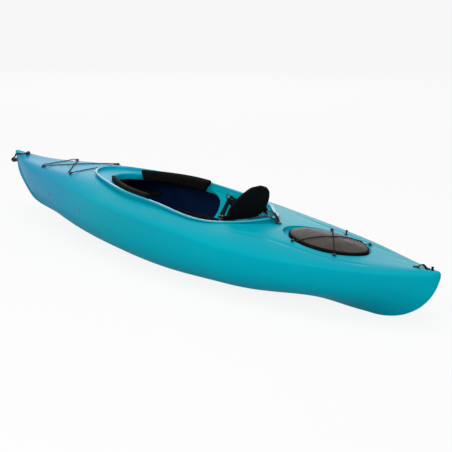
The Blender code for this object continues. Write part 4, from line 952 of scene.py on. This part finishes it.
def make_shell():
    """Hull and deck in one: a hollow skin with the coaming, the hatch's recess, the posts' pads and holes."""
    shell = loft("shell", [outer_ring(x) for x in stations()], BOTH)
    places = np.linspace(HOLLOW_REAR_X, HOLLOW_FRONT_X, STATION_COUNTS["hollow"])
    hollow = loft("hollow", [hollow_ring(x) for x in places], BOTH)
    # the hollow's faces, the shell's inside, take the painted shade
    for face in hollow.data.polygons:
        face.material_index = 1
    cut(shell, hollow)
    rows = coaming_curve(STATION_COUNTS["coaming"])
    outline = [inside_lip(row, (COAMING_WALL_OUT + COAMING_WALL_IN) / 2) for row in rows]
    cut(shell, loft("cockpit", [[(*place, z) for place in outline] for z in COCKPIT_CUT], BOTH))
    join(shell, loft("coaming", [coaming_section(row) for row in rows], BOTH, closed_path=True))
    rings = [deck_points(x) for x in stations() if abs(x - HATCH_X) < HATCH_LENGTH / 2 + 0.08]
    boss = loft("boss", np.asarray(rings) - (0, 0, 0.0010), BOTH)
    around = HATCH_RECESS + 0.006
    combine(boss, hatch_slab(((around, -0.0052), (around, 0.080)), RECESS_AHEAD), "INTERSECT")
    join(shell, boss)
    levels = ((HATCH_RECESS - 0.0035, 0.0), (HATCH_RECESS - 0.0010, 0.0008), (HATCH_RECESS + 0.0006, 0.0030),
              (HATCH_RECESS + 0.0030, 0.0120), (HATCH_RECESS + 0.0200, 0.0900))
    cut(shell, hatch_slab(levels, RECESS_AHEAD))
    cut(shell, hatch_slab(((-HATCH_SEAT, -0.10), (-HATCH_SEAT, 0.10))))
    for x, y in post_places().values():
        top = post_pad_height(x, y)
        join(shell, round_bar((x, y, top - POST_PAD_DEPTH), (x, y, top), POST_PAD, BOTH))
    cut(shell, round_bar(*((PLUG_X, 0, z) for z in PLUG_CUT), PLUG_HOLE, BOTH))
    paint_lip(shell, rows)
    smooth_shading(shell, 40)
    into_frame(shell)
    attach(shell, "hull")
    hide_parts("hull_shell", "deck_shell")


def make_pan():
    """Seat pan: its front edge reaches further forward at the sides."""
    shares = [math.sin(math.pi / 2 * t) for t in np.linspace(-1, 1, 81)]
    upper = []
    for step in np.linspace(0, 1, 90):
        row = []
        for share in shares:
            x = PAN_REAR_X + (pan_reach(abs(share)) - PAN_REAR_X) * step
            y = share * (opening_half_width(x) - 0.0016)
            row.append((x, y, pan_height(x, y)))
        upper.append(row)
    lower = np.asarray(upper) - (0, 0, PAN_THICKNESS)
    pan = into_frame(sheet_solid("seat_shell", upper, lower, [SHELL], 50))
    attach(pan, "hull")
    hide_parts("seat_pan")
    bevel(pan, 0.0014)


def make_lid():
    """Smoked dome with a black rim round its edge."""
    low = HATCH_RIM
    outer = [(-0.0012, 0.0012), (-0.0003, 0.0020), (0.0, 0.0035), (0.0002, low * 0.5), (0.0, low - 0.0040),
             (-0.0008, low - 0.0020), (-0.0024, low - 0.0006), (-0.0050, low), (-0.0090, low + 0.0003),
             (-0.0100, low + 0.0010)]
    outer += [(-HATCH_WIDTH / 2 * share, dome_height(share)) for share in np.linspace(0.12, 0.985, 26)]
    inner = [(-0.008, 0.0095), (-0.0032, 0.0078), (-0.0026, 0.0012)]
    lid = loft("lid", hatch_rings(inner + outer, 128), [LID, RUBBER], crease=50)
    for face in lid.data.polygons:
        if hatch_inset(face.center.x, face.center.y) < RIM_MARGIN:
            face.material_index = 1
    into_frame(lid)
    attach(lid, "hatch_cover")
    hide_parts("hatch_lid")


# Soft goods

# padded panel hung under each side strap: stations, height of its top, the strap's line, half thickness
HIP_PAD_X = (-0.300, -0.050)
HIP_PAD_TOP = 0.2935
HIP_STRAP_LINE = ((-0.360, 0.1595), (-0.230, 0.1675), (-0.150, 0.1800), (-0.082, 0.1955), (-0.050, 0.2000))
HIP_HALF_THICK = 0.0050
# seat pad: its rear edge, half width, distance behind the pan's front edge, margin all round, thickness at
# the edge, what it gains in the middle, and height over the pan
SEAT_REAR_X = -0.232
SEAT_HALF_WIDTH = 0.105
SEAT_BEHIND_PAN = 0.020
SEAT_MARGIN = 0.002
SEAT_EDGE = 0.006
SEAT_THICK = 0.0152
SEAT_LIFT = 0.0016
# its sewn channels: share of the half length from the middle, depth and half width as a share
SEAT_CHANNEL = 0.33
SEAT_CHANNEL_DEPTH = 0.0062
SEAT_CHANNEL_WIDTH = 0.032
# backrest pad's margin, its thickness at the edge and the swell over it, and its sewn channels as shares of
# its height with their depth and half width
BACK_MARGIN = 0.006
BACK_EDGE = 0.0045
BACK_PLUMP = 0.0115
BACK_CHANNELS = (0.40, 0.72)
CHANNEL_DEPTH = 0.0055
CHANNEL_WIDTH = 0.022
# thigh pad's lower edge, and the height of its upper edge at the front with its rise to the rear
THIGH_LOW = -0.046
THIGH_TOP = 0.006
THIGH_RISE = 0.010
# stitches: from one to the next, half the length of each, and how deep its ends lie in the surface
STITCH_SPACING = 0.0042
STITCH_HALF = 0.32 * STITCH_SPACING
STITCH_SINK = 0.0002
# cloth under pressure that fills the padded pieces
SIMULATION_FRAMES = 20
CLOTH = {"quality": 5, "mass": 0.3, "tension_stiffness": 15, "compression_stiffness": 15,
         "bending_stiffness": 0.5, "use_pressure": True, "uniform_pressure_force": 4.0}


def puffed(thing, voxel, most, held):
    """Fills a closed form by a pressure cloth simulation: no point moves over most, held ones stay."""
    configure(thing.modifiers.new("even", "REMESH"), mode="VOXEL", voxel_size=voxel)
    apply_modifiers(thing)
    start = np.array([v.co for v in thing.data.vertices])
    pin = thing.vertex_groups.new(name="held")
    pin.add([vertex.index for vertex in thing.data.vertices if held(vertex.co)], 1.0, "REPLACE")
    cloth = thing.modifiers.new("cloth", "CLOTH")
    configure(cloth.settings, **CLOTH, vertex_group_mass="held")
    cloth.settings.effector_weights.gravity = 0.0
    configure(cloth.point_cache, frame_start=1, frame_end=SIMULATION_FRAMES)
    scene = bpy.context.scene
    for number in range(1, SIMULATION_FRAMES + 1):
        scene.frame_set(number)
    view = bpy.context.evaluated_depsgraph_get()
    blown = np.array([v.co for v in thing.evaluated_get(view).data.vertices])
    thing.modifiers.remove(cloth)
    scene.frame_set(1)
    for vertex, spot in zip(thing.data.vertices, start + capped(blown - start, most)):
        vertex.co = spot
    configure(thing.modifiers.new("smooth", "SMOOTH"), factor=0.5, iterations=3)
    configure(thing.modifiers.new("divide", "SUBSURF"), levels=1, render_levels=1)
    apply_modifiers(thing)
    thing.data.shade_smooth()


def stitches(name, path, normals, thickness=0.0006):
    """Row of sewn stitches along a path, each a small spindle lying on the surface."""
    path = np.asarray(path, float)
    normals = np.asarray(normals, float)
    lengths = lengths_along(path)

    def at(length, rows):
        return np.array([np.interp(length, lengths, column) for column in rows.T])

    points = []
    faces = []
    count = max(int(lengths[-1] / STITCH_SPACING), 1)
    for number in range(count):
        middle = (number + 0.5) * lengths[-1] / count
        start, end = (at(middle + reach, path) for reach in (-STITCH_HALF, STITCH_HALF))
        up = at(middle, normals)
        up /= np.linalg.norm(up)
        along = end - start
        along /= max(np.linalg.norm(along), 1e-9)
        side = np.cross(along, up)
        base = len(points)
        centre = (start + end) / 2
        points += [start - up * STITCH_SINK, end - up * STITCH_SINK]
        for turn in range(6):
            angle = math.pi / 3 * turn
            points.append(centre + side * thickness * math.cos(angle) + up * thickness * math.sin(angle))
            one, two = base + 2 + turn, base + 2 + (turn + 1) % 6
            faces += [(base, two, one), (base + 1, one, two)]
    return into_frame(mesh_object(name, points, faces, [THREAD], 60))


def piping(name, path, radius, look, cyclic=False):
    """Round corded edge or cord along a path."""
    curve = bpy.data.curves.new(name, "CURVE")
    configure(curve, dimensions="3D", bevel_depth=radius, bevel_resolution=4, use_fill_caps=not cyclic)
    spline = curve.splines.new("POLY")
    spline.points.add(len(path) - 1)
    for target, (x, y, z) in zip(spline.points, path):
        target.co = (x - CENTRE_X, y, z, 1.0)
    spline.use_cyclic_u = cyclic
    curve.materials.append(look)
    return new_object(name, curve)


def seat_front(y):
    """Front edge of the seat pad, some way behind the pan's own."""
    return pan_reach(min(abs(y) / opening_half_width(0.0), 1.0)) - SEAT_BEHIND_PAN


def seat_point(u, v):
    """Plan place on the seat pad: u from the rear to the front edge, v across, both from -1 to 1."""
    y = (SEAT_HALF_WIDTH - SEAT_MARGIN) * v * (1 - 0.05 * (1 - abs(u)) * abs(v) ** 3)
    front = seat_front(y) - SEAT_MARGIN
    x = (SEAT_REAR_X + SEAT_MARGIN + front) / 2 + (front - SEAT_REAR_X - SEAT_MARGIN) / 2 * u
    return x, y, pan_height(x, y) + SEAT_LIFT


def make_seat_pad():
    """Fabric pad in the seat well, filled by simulation, with two sewn channels."""
    rows, columns = np.linspace(-1, 1, 41), np.linspace(-1, 1, 37)
    lower = [[seat_point(u, v) for v in columns] for u in rows]
    upper = [[(x, y, base + SEAT_EDGE + SEAT_THICK * ((1 - u ** 8) * (1 - v ** 8)))
              for v, (x, y, base) in zip(columns, row)] for u, row in zip(rows, lower)]
    pad = sheet_solid("seat_pad", upper, lower, [FABRIC], 60)
    puffed(pad, voxel=0.005, most=0.006, held=lambda p: p.z < pan_height(p.x, p.y) + SEAT_LIFT + 0.0035)
    for vertex in pad.data.vertices:
        x, y, z = vertex.co
        front = seat_front(y)
        u = (x - (front + SEAT_REAR_X) / 2) / ((front - SEAT_REAR_X) / 2)
        base = pan_height(x, y) + SEAT_LIFT
        away = (abs(u) - SEAT_CHANNEL) / SEAT_CHANNEL_WIDTH
        dip = SEAT_CHANNEL_DEPTH * math.exp(-away ** 2) * clamped((z - base - 0.004) / 0.010)
        vertex.co.z = max(z - dip, base - 0.0004)
    into_frame(pad)
    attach(pad, "hull")
    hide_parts("seat_cushion")


def lug(side):
    """Upright plate with a round head at the pivot and a foot towards the backrest's lower edge."""
    x, z = BACK_PIVOT
    angles = [-math.pi / 2 + math.pi * i / 8 for i in range(9)]
    outline = [(x + 0.009 * math.cos(angle), z + 0.009 * math.sin(angle)) for angle in angles]
    outline += [(x - 0.016, z + 0.024), (x - 0.016, z - 0.002)]
    rings = [[(a, y, b) for a, b in outline] for y in sorted((side * LUG_Y[0], side * LUG_Y[1]))]
    return loft("lug", rings, [FABRIC])


def make_back_panel():
    """Stiff back with a fabric rear panel, and on each side a foot and a lug with the pivot's hole."""
    front = back_grid(48, 61, 0.0, lambda share, level: BACK_SHELL / 2)
    rear = back_grid(48, 61, 0.0, lambda share, level: -BACK_SHELL / 2 - 0.0012 * back_swell(share, level))
    back = sheet_solid("back_panel", front, rear, [FABRIC], 60)
    corners = ((-0.003, 0.000), (0.003, 0.000), (0.003, 0.022), (-0.003, 0.022))
    for side, _ in SIDES:
        foot = [[back_point(up, side * y, ahead) for ahead, up in corners] for y in (0.112, LUG_Y[1])]
        join(back, loft("foot", foot, [FABRIC]))
        join(back, lug(side))
        hole = [(BACK_PIVOT[0], side * y, BACK_PIVOT[1]) for y in (0.130, 0.150)]
        cut(back, round_bar(*hole, PIVOT_HOLE, [FABRIC]))
    smooth_shading(back, 50)
    bevel(back, 0.0012)
    into_frame(back)
    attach(back, "backrest")
    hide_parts("backrest_shell")


def make_back_pad():
    """Padded front of the backrest, filled by simulation, with channels, a piped edge and a seam behind."""
    behind = BACK_SHELL / 2 + GAP
    front = back_grid(
        34, 39, BACK_MARGIN, lambda share, level: behind + BACK_EDGE + BACK_PLUMP * back_swell(share, level))
    rear = back_grid(34, 39, BACK_MARGIN, lambda share, level: behind)
    pad = sheet_solid("back_pad", front, rear, [FABRIC], 60)
    puffed(pad, voxel=0.0045, most=0.006, held=lambda p: back_depth(p) < behind + 0.0035)
    for vertex in pad.data.vertices:
        level = ((vertex.co - PIVOT).dot(BACK_UP) - BACK_LOW) / (BACK_HIGH - BACK_LOW)
        grip = clamped((back_depth(vertex.co) - 0.007) / 0.008)
        near = sum(math.exp(-((level - at) / CHANNEL_WIDTH) ** 2) for at in BACK_CHANNELS)
        vertex.co -= BACK_AHEAD * (CHANNEL_DEPTH * grip * near)
        below = BACK_SHELL / 2 + 0.0001 - back_depth(vertex.co)
        if below > 0:
            vertex.co += BACK_AHEAD * below
    into_frame(pad)
    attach(pad, "backrest")
    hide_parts("backrest_cushion")
    edge = piping("back_piping", back_border(0.0012, 0.0040), 0.0022, WEBBING)
    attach(edge, "backrest")
    border = back_border(0.0085, -BACK_SHELL / 2 - 0.0014, low_inset=0.012)
    seam = stitches("back_seam", border, [-BACK_AHEAD] * len(border))
    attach(seam, "backrest")


def make_thigh_pad(side, word):
    """Soft foam pad along the opening's inner edge, rounded at both ends and cut off aslant at the rear."""
    rows = [row for row in PORT_HALF[::2] if PAD_X[0] < row[2] < PAD_X[1]]
    last = len(rows) - 1
    low = THIGH_LOW
    rings = []
    ends = (0, 0.10, 0.3, 0.6)
    for step in [*ends, *np.linspace(1, last - 1, 40), *(last - end for end in reversed(ends))]:
        place = min(step, last - 1e-6)
        number = int(place)
        ahead, behind = rows[max(number - 1, 0)], rows[min(number + 1, last)]
        row = rows[number] * (1 - (place - number)) + behind * (place - number)
        inner = Vector((row[2], row[3], 0))
        inward = (inner - Vector((row[0], row[1], 0))).normalized()
        forward = Vector((ahead[2] - behind[2], ahead[3] - behind[3], 0)).normalized()
        share = step / last
        top = THIGH_TOP + THIGH_RISE * share
        middle = (top + low) / 2
        end = 0.80 + 0.20 * math.sqrt(1 - (1 - min(step, last - step, 1.0)) ** 2)
        section = [(0.0012, low + 0.008), (0.0012, -0.021), (-0.0020, -0.0170), (-0.008, -0.0150),
                   (-0.008, top - 0.007), (-0.0072, top - 0.0030), (-0.004, top)]
        section += [(PAD_THICK * across, height) for across, height in (
            (0.15, top + 0.0012), (0.50, top + 0.001), (0.72, top - 0.0006), (0.88, top - 0.0045),
            (0.97, top - 0.0090), (1.00, top - 0.014), (1.01, middle), (1.00, low + 0.012),
            (0.95, low + 0.0060), (0.82, low + 0.0018), (0.65, low), (0.20, low + 0.001))]
        ring = []
        for along, height in section:
            slant = PAD_SLANT * max(0.0, share - 0.75) / 0.25 * (top - height) / (top - low)
            height = middle + (height - middle) * end
            if along > 0.002:
                along = 0.002 + (along - 0.002) * end
            point = inner + inward * along + forward * slant + Vector((0, 0, row[4] + height))
            ring.append((point.x, side * point.y, point.z))
        rings.append(ring)
    pad = into_frame(loft(f"thigh_foam_{word}", rings, [RUBBER], crease=60))
    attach(pad, "hull")
    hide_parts(f"thigh_pad_{word}")


def make_hip_pad(side, word):
    """Padded panel between the side strap and the pan, filled by simulation."""
    rear, front = HIP_PAD_X
    grids = {1: [], -1: []}
    for u in np.linspace(-1, 1, 41):
        x = (rear + front) / 2 + (front - rear) / 2 * u
        y = between(x, HIP_STRAP_LINE)
        low = pan_height(x, y) + 0.002
        low += (HIP_PAD_TOP - low) * (0.22 * max(-u, 0.0) ** 5 + 0.10 * max(u, 0.0) ** 9)
        for outwards, grid in grids.items():
            row = []
            for share in np.linspace(0, 1, 13):
                plump = HIP_HALF_THICK * (0.70 + 0.30 * (1 - abs(2 * share - 1) ** 4) * (1 - u ** 8))
                across = y - 0.010 * (1 - share) + outwards * plump
                row.append((x, side * across, low + (HIP_PAD_TOP - low) * share))
            grid.append(row)
    pad = sheet_solid(f"hip_pad_{word}", grids[side], grids[-side], [FABRIC], 60)
    puffed(pad, voxel=0.003, most=0.005, held=lambda p: p.z > HIP_PAD_TOP - 0.004)
    into_frame(pad)
    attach(pad, "hull")


# Cords and webbing

# gap between crossing cords and over what they lie on, distance of a hatch cord's ends from the posts and
# their height over the posts' pads, and the share of its length over which one cord lifts over the other
CORD_CLEARANCE = 0.0012
CORD_FROM_POST = 0.0116
CORD_OVER_PAD = 0.0062
CROSSING_SHARE = 0.22
# foredeck cord: spacing of its points, length over which it rises to an eye, and half length of its crossing
BOW_CORD_SPACING = 0.031
BOW_CORD_RISE = 0.045
BOW_CORD_CROSSING = 0.05
# distance of a row of stitches from the webbing's edge
SEAM_INSET = 0.0022


def make_bow_cord():
    """The elastic cord through the four foredeck eyes, along the part's own route."""
    corners = [Vector((x, side * y)) for x, y in BOW_EYES for side, _ in SIDES]
    arc = ((0.011, -0.017), (0.0045, -0.012), (0.0005, -0.006), (0.0, 0.0), (0.0005, 0.006), (0.0045, 0.012),
           (0.011, 0.017))
    turns = []
    for i, here in enumerate(corners):
        before = corners[i - 1]
        after = corners[(i + 1) % 4]
        towards = ((before - here).normalized() + (after - here).normalized()).normalized()
        tangent = Vector((-towards.y, towards.x))
        if tangent.dot(after - here) < 0:
            tangent = -tangent
        place = on_deck(here.x, here.y, GAP, math.atan2(-towards.y, -towards.x))
        ahead = 1 if place.col[1].to_2d().dot(tangent) > 0 else -1
        turns.append([place @ Vector((-back, ahead * along, EYE_CORD_HEIGHT)) for back, along in arc])
    points = []
    for i, turn in enumerate(turns):
        points += turn
        start, end = turn[-1], turns[(i + 1) % 4][0]
        length = (end - start).length
        pieces = round(length / BOW_CORD_SPACING)
        for step in range(1, pieces):
            share = step / pieces
            spot = start.lerp(end, share)
            near_eye = max(0.0, 1 - min(share, 1 - share) * length / BOW_CORD_RISE)
            lift = 0.0038 + (EYE_CORD_HEIGHT - 0.0034) * near_eye
            if i == 1:
                crossing = max(0.0, 1 - abs(share - 0.5) * length / BOW_CORD_CROSSING)
                lift += (2 * CORD_RADIUS + CORD_CLEARANCE) * crossing
            points.append((spot.x, spot.y, deck_height(spot.x, spot.y) + lift))
    cord = piping("deck_cord", smooth_path(points, 420, closed=True), CORD_RADIUS, BRAID, cyclic=True)
    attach(cord, "hull")
    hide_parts("bow_cord")


def make_hatch_cords():
    """Two elastic cords crossed over the lid, one lifted over the other."""
    places = post_places()
    pairs = {"hatch_cord_low": ("port_front", "starboard_rear", 0.0),
             "hatch_cord_high": ("starboard_front", "port_rear", 2 * CORD_RADIUS + CORD_CLEARANCE)}
    for name, (first, second, bump) in pairs.items():
        a = Vector(places[first])
        b = Vector(places[second])
        along = (b - a).normalized()
        start = a + along * CORD_FROM_POST
        end = b - along * CORD_FROM_POST
        path = []
        for step in range(25):
            spot = start.lerp(end, step / 24)
            if step in (0, 24):
                height = post_pad_height(*(a if step == 0 else b)) + CORD_OVER_PAD
            else:
                height = max(lid_height(spot.x + dx, spot.y) for dx in (-0.004, 0.0, 0.004))
                crossing = bump * max(0.0, 1 - abs(step / 24 - 0.5) / CROSSING_SHARE)
                height = height + CORD_RADIUS + CORD_CLEARANCE + crossing
            path.append((spot.x, spot.y, height))
        middle = smooth_path(path, 120)
        cord = piping(name + "_sleeve", middle, CORD_RADIUS, BRAID)
        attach(cord, "hatch_cover")
        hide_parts(name)


def hook(centre, radius, start, end):
    """Points round a bar in a plane, from one angle to the other."""
    angles = np.linspace(start, end, 9)
    return [(centre[0] + radius * math.cos(a), centre[1] + radius * math.sin(a)) for a in angles]


def webbing(name, path, sides, width, samples, node, thickness=STRAP_THICK):
    """Flat webbing with rounded, stitched edges; the width may be a pair for its start and end."""
    middle = smooth_path(path, samples)
    sides = np.broadcast_to(sides, (len(path), 3))
    shares = np.linspace(0, len(sides) - 1, len(middle))
    across = np.stack([np.interp(shares, range(len(sides)), column) for column in zip(*sides)], -1)
    widths = np.linspace(*np.broadcast_to(width, 2), len(middle))
    edge = thickness / 2
    rings = []
    seams = {1: [], -1: []}
    normals = []
    for centre, side, ahead, wide in zip(middle, across, np.gradient(middle, axis=0), widths):
        ahead = ahead / np.linalg.norm(ahead)
        side = side - ahead * np.dot(side, ahead)
        side = side / np.linalg.norm(side)
        up = np.cross(ahead, side)
        half = wide / 2
        quarter = [(half, 0), (half - edge * 0.3, edge * 0.8), (half - edge, edge), (half / 3, edge * 1.08)]
        section = [(-a, b) for a, b in quarter] + quarter[::-1]
        section += [(a, -b) for a, b in quarter[1:]] + [(-a, -b) for a, b in quarter[:0:-1]]
        rings.append([centre + side * a + up * b for a, b in section])
        for sign in seams:
            seams[sign].append(centre + side * sign * (half - SEAM_INSET) + up * edge)
        normals.append(up)
    strap = into_frame(loft(name, rings, [WEBBING], crease=60))
    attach(strap, "hull")
    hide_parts(node)
    for sign, word in ((1, "left"), (-1, "right")):
        row = stitches(f"{name}_seam_{word}", seams[sign], normals, 0.0004)
        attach(row, "hull")


def rivet(name, spot, upright):
    """Domed rivet through webbing, with its shank down into the plastic under it."""
    profile = ((0.0022, -0.0050), (0.0022, 0.0008), (0.0050, 0.0010), (0.0052, 0.0016), (0.0046, 0.0026),
               (0.0032, 0.0033), (0.0014, 0.0037))
    head = into_frame(turned(name, spot, upright, profile, [STEEL], 24, crease=50))
    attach(head, "hull")


def make_straps(side, word):
    """Side strap from pivot to ring, flank strap from the ring down the pan, rear strap to the deck plate."""
    ring_x, ring_y, ring_z = STRAP_RING
    half_x, half_z = STRAP_RING_HALF
    wrap = STRAP_RING_WIRE + STRAP_THICK / 2 + 2 * GAP
    strap_y = (STRAP_EYE_Y[0] + STRAP_EYE_Y[1]) / 2
    pivot_x, pivot_z = BACK_PIVOT
    path = [(x, side * y, ring_z) for x, y in hook((ring_x - half_x, ring_y), wrap, -0.9, math.pi - 1.3)]
    path += [(-0.082, side * 0.1955, 0.2990), (-0.150, side * 0.1800, 0.3005),
             (-0.230, side * 0.1675, 0.2995), (pivot_x + 0.040, side * (strap_y + 0.0012), pivot_z),
             (pivot_x + 0.006, side * strap_y, pivot_z), (pivot_x - 0.009, side * strap_y, pivot_z)]
    webbing(f"side_webbing_{word}", path, (0, 0, 1), SIDE_STRAP_WIDTH, 90, f"side_strap_{word}")
    path = [(ring_x, side * y, z) for y, z in hook((ring_y, ring_z - half_z), wrap, math.pi - 0.7, -0.35)]
    for step, y in enumerate((0.199, 0.189, 0.176, 0.158, 0.140), 1):
        x = ring_x - 0.0014 * step
        path.append((x, side * y, max(pan_height(x + dx, y) for dx in (-0.016, 0.0, 0.016)) + 0.0050))
    webbing(f"flank_webbing_{word}", path, (1, 0, 0), FLANK_STRAP_WIDTHS, 60, f"flank_strap_{word}")
    before, end = Vector(path[-2]), Vector(path[-1])
    upright = (end - before).cross(Vector((side, 0, 0))).normalized()
    for place, along in (("rear", -0.009), ("front", 0.009)):
        rivet(f"flank_rivet_{word}_{place}", end.lerp(before, 0.45) + Vector((along, 0, 0)), upright)
    path = [(pivot_x - 0.0190, side * 0.1575, pivot_z - 0.004), (-0.400, side * 0.128, 0.3055),
            (-0.445, side * 0.095, 0.3135), (-0.498, side * 0.054, 0.3245), (-0.540, side * 0.022, 0.3270),
            (-0.5590, side * 0.0115, 0.3205), (-0.5740, side * 0.0065, deck_height(-0.5740, 0.0065) + 0.0072)]
    sides = [(-0.61, 0.79 * side, 0.0)] + [(-0.55, 0.83 * side, 0.0)] * 4 + [(-0.45, 0.89 * side, 0.0)] * 2
    webbing(f"rear_webbing_{word}", path, sides, REAR_STRAP_WIDTH, 60, f"rear_strap_{word}")


def make_stern_handle():
    """Webbing carry handle, raised between its two screwed feet."""
    front, foot_front, top, foot_rear, rear = STERN_STRAP_X
    rises = ((front, 0), ((front + foot_front) / 2, 0), (foot_front, 0.0012), (foot_front - 0.008, 0.0088),
             (top, 0.0140), (foot_rear + 0.008, 0.0088), (foot_rear, 0.0012), (rear, 0))
    path = [(x, 0, deck_height(x, 0) + 0.0025 + rise) for x, rise in rises]
    webbing("stern_webbing", path, (0, 1, 0), 0.016, 70, "stern_strap", 0.0030)


def make_bow_rope():
    """Braided loop that carries the bow toggle."""
    eye = on_deck(HANDLE_EYE_X, 0.0, GAP, 0.0) @ Vector((0, 0, HANDLE_EYE_HEIGHT))
    toggle_x = TOGGLE_FRONT_X - TOGGLE_RADIUS
    end = TOGGLE_LENGTH / 2
    strand = [(eye.x, 0.0055, eye.z), (eye.x + 0.004, 0.0160, eye.z), (1.431, 0.0260, eye.z - 0.001),
              (1.454, 0.0360, deck_height(1.454, 0.0360) + 0.0060)]
    for x, z in ((1.478, 0.3230), (1.502, 0.3080)):
        strand.append((x, hull_half_width(x, z) + ROPE_RADIUS + 0.0036, z))
    strand += [(1.524, 0.0250, 0.2930), (toggle_x - 0.0030, 0.0255, TOGGLE_Z + 0.0065),
               (toggle_x - 0.0006, end + 0.0036, TOGGLE_Z + 0.0012), (toggle_x, end + 0.0008, TOGGLE_Z)]
    port = [(eye.x, 0.0, eye.z), *smooth_path(strand, 60), (toggle_x, 0.0, TOGGLE_Z)]
    starboard = [(x, -y, z) for x, y, z in reversed(port[1:-1])]
    rope = piping("bow_loop", port + starboard, ROPE_RADIUS, BRAID, cyclic=True)
    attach(rope, "bow_handle")
    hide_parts("bow_rope")


def dress():
    """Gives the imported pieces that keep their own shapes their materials."""
    looks = {"aqua_plastic": SHELL, "black_plastic": BLACK, "smoke_plastic": LID, "black_rubber": RUBBER,
             "black_fabric": FABRIC, "black_webbing": WEBBING, "black_cord": BRAID, "grey_foam": FOAM,
             "steel": STEEL}
    slots = {row["node"]: row["material_slot"] for row in frame["record"]["subparts"]}
    for name, thing in frame["nodes"].items():
        thing.data.materials.clear()
        thing.data.materials.append(looks[slots[name]])
        smooth_shading(thing)


dress()
make_shell()
make_pan()
make_lid()
make_seat_pad()
make_back_panel()
make_back_pad()
for side, word in SIDES:
    make_thigh_pad(side, word)
make_bow_cord()
make_hatch_cords()
for side, word in SIDES:
    make_straps(side, word)
    make_hip_pad(side, word)
make_stern_handle()
make_bow_rope()


# Studio and camera

# strength of the world's light on the object; the camera and reflections see it white
WORLD_LIGHT = 0.42
# lamps: place, target, size along and across, power
LAMPS = {
    "overhead": ((-0.4, 0.6, 4.2), (0.0, 0.0, 0.0), (4.0, 3.0), 70),
    "key": ((-2.2, 4.8, 2.8), (0.0, 0.0, 0.2), (2.6, 2.0), 95),
    "back": ((4.8, -4.4, 2.0), (0.2, 0.2, 0.3), (5.0, 1.0), 40),
}
WHITE = (1.0, 1.0, 1.0, 1.0)
FLOOR_HALF = 14.0
FLOOR_Z = -0.0005
# camera fitted to the photograph: place in the station frame, heading, tilt and roll, focal length in pixels
CAMERA_PLACE = (-4.5526, 4.3128, 1.854)
CAMERA_ANGLES = (44.898, 14.994, 0.536)
CAMERA_FOCAL = 1275.5
PHOTO_WIDTH = 452
SENSOR_WIDTH = 36


def make_stage():
    """Floor of pale paper, nearly white where the camera sees it, with the object's shadow on it."""
    look = Looks("paper", (0.85, 0.85, 0.85), 0.9)
    plain = look.add("Emission", "Emission", {"Color": WHITE})
    share = look.math("MULTIPLY", look.seen(), 0.88)
    blend = look.add("MixShader", "Shader", {"Fac": share, 1: look.shader.outputs["BSDF"], 2: plain})
    look.feed(look.nodes["Material Output"].inputs["Surface"], blend)
    corners = [(x * FLOOR_HALF, y * FLOOR_HALF, FLOOR_Z) for x, y in ((-1, -1), (1, -1), (1, 1), (-1, 1))]
    floor = mesh_object("floor", corners, [(0, 1, 2, 3)], [look.material])


def make_lights():
    for name, (place, target, (size, size_y), energy) in LAMPS.items():
        light = configure(bpy.data.lights.new(name, "AREA"), shape="RECTANGLE", size=size, size_y=size_y,
                          energy=energy)
        turn = (Vector(target) - Vector(place)).to_track_quat("-Z", "Y").to_euler()
        configure(new_object(name, light), location=place, rotation_euler=turn)
    world = bpy.data.worlds.new("studio")
    bpy.context.scene.world = world
    tree = Tree(world)
    background = tree.nodes["Background"]
    strength = tree.add("MapRange", "Result", {"Value": tree.seen(), "To Min": WORLD_LIGHT, "To Max": 1.0})
    tree.feed(background.inputs["Color"], WHITE)
    tree.feed(background.inputs["Strength"], strength)


def make_camera():
    yaw, pitch, roll = (math.radians(a) for a in CAMERA_ANGLES)
    forward = Vector((math.cos(yaw) * math.cos(pitch), -math.sin(yaw) * math.cos(pitch), -math.sin(pitch)))
    level = forward.cross(Vector((0, 0, 1))).normalized()
    upright = level.cross(forward)
    right = level * math.cos(roll) + upright * math.sin(roll)
    up = upright * math.cos(roll) - level * math.sin(roll)
    lens = CAMERA_FOCAL / PHOTO_WIDTH * SENSOR_WIDTH
    camera = new_object("camera", bpy.data.cameras.new("camera"))
    configure(camera.data, sensor_width=SENSOR_WIDTH, lens=lens)
    turn = Matrix((right, up, -forward)).transposed().to_4x4()
    x, y, z = CAMERA_PLACE
    camera.matrix_world = Matrix.Translation((x - CENTRE_X, y, z)) @ turn
    bpy.context.scene.camera = camera


make_stage()
make_lights()
make_camera()
bpy.context.scene.view_settings.view_transform = "Standard"
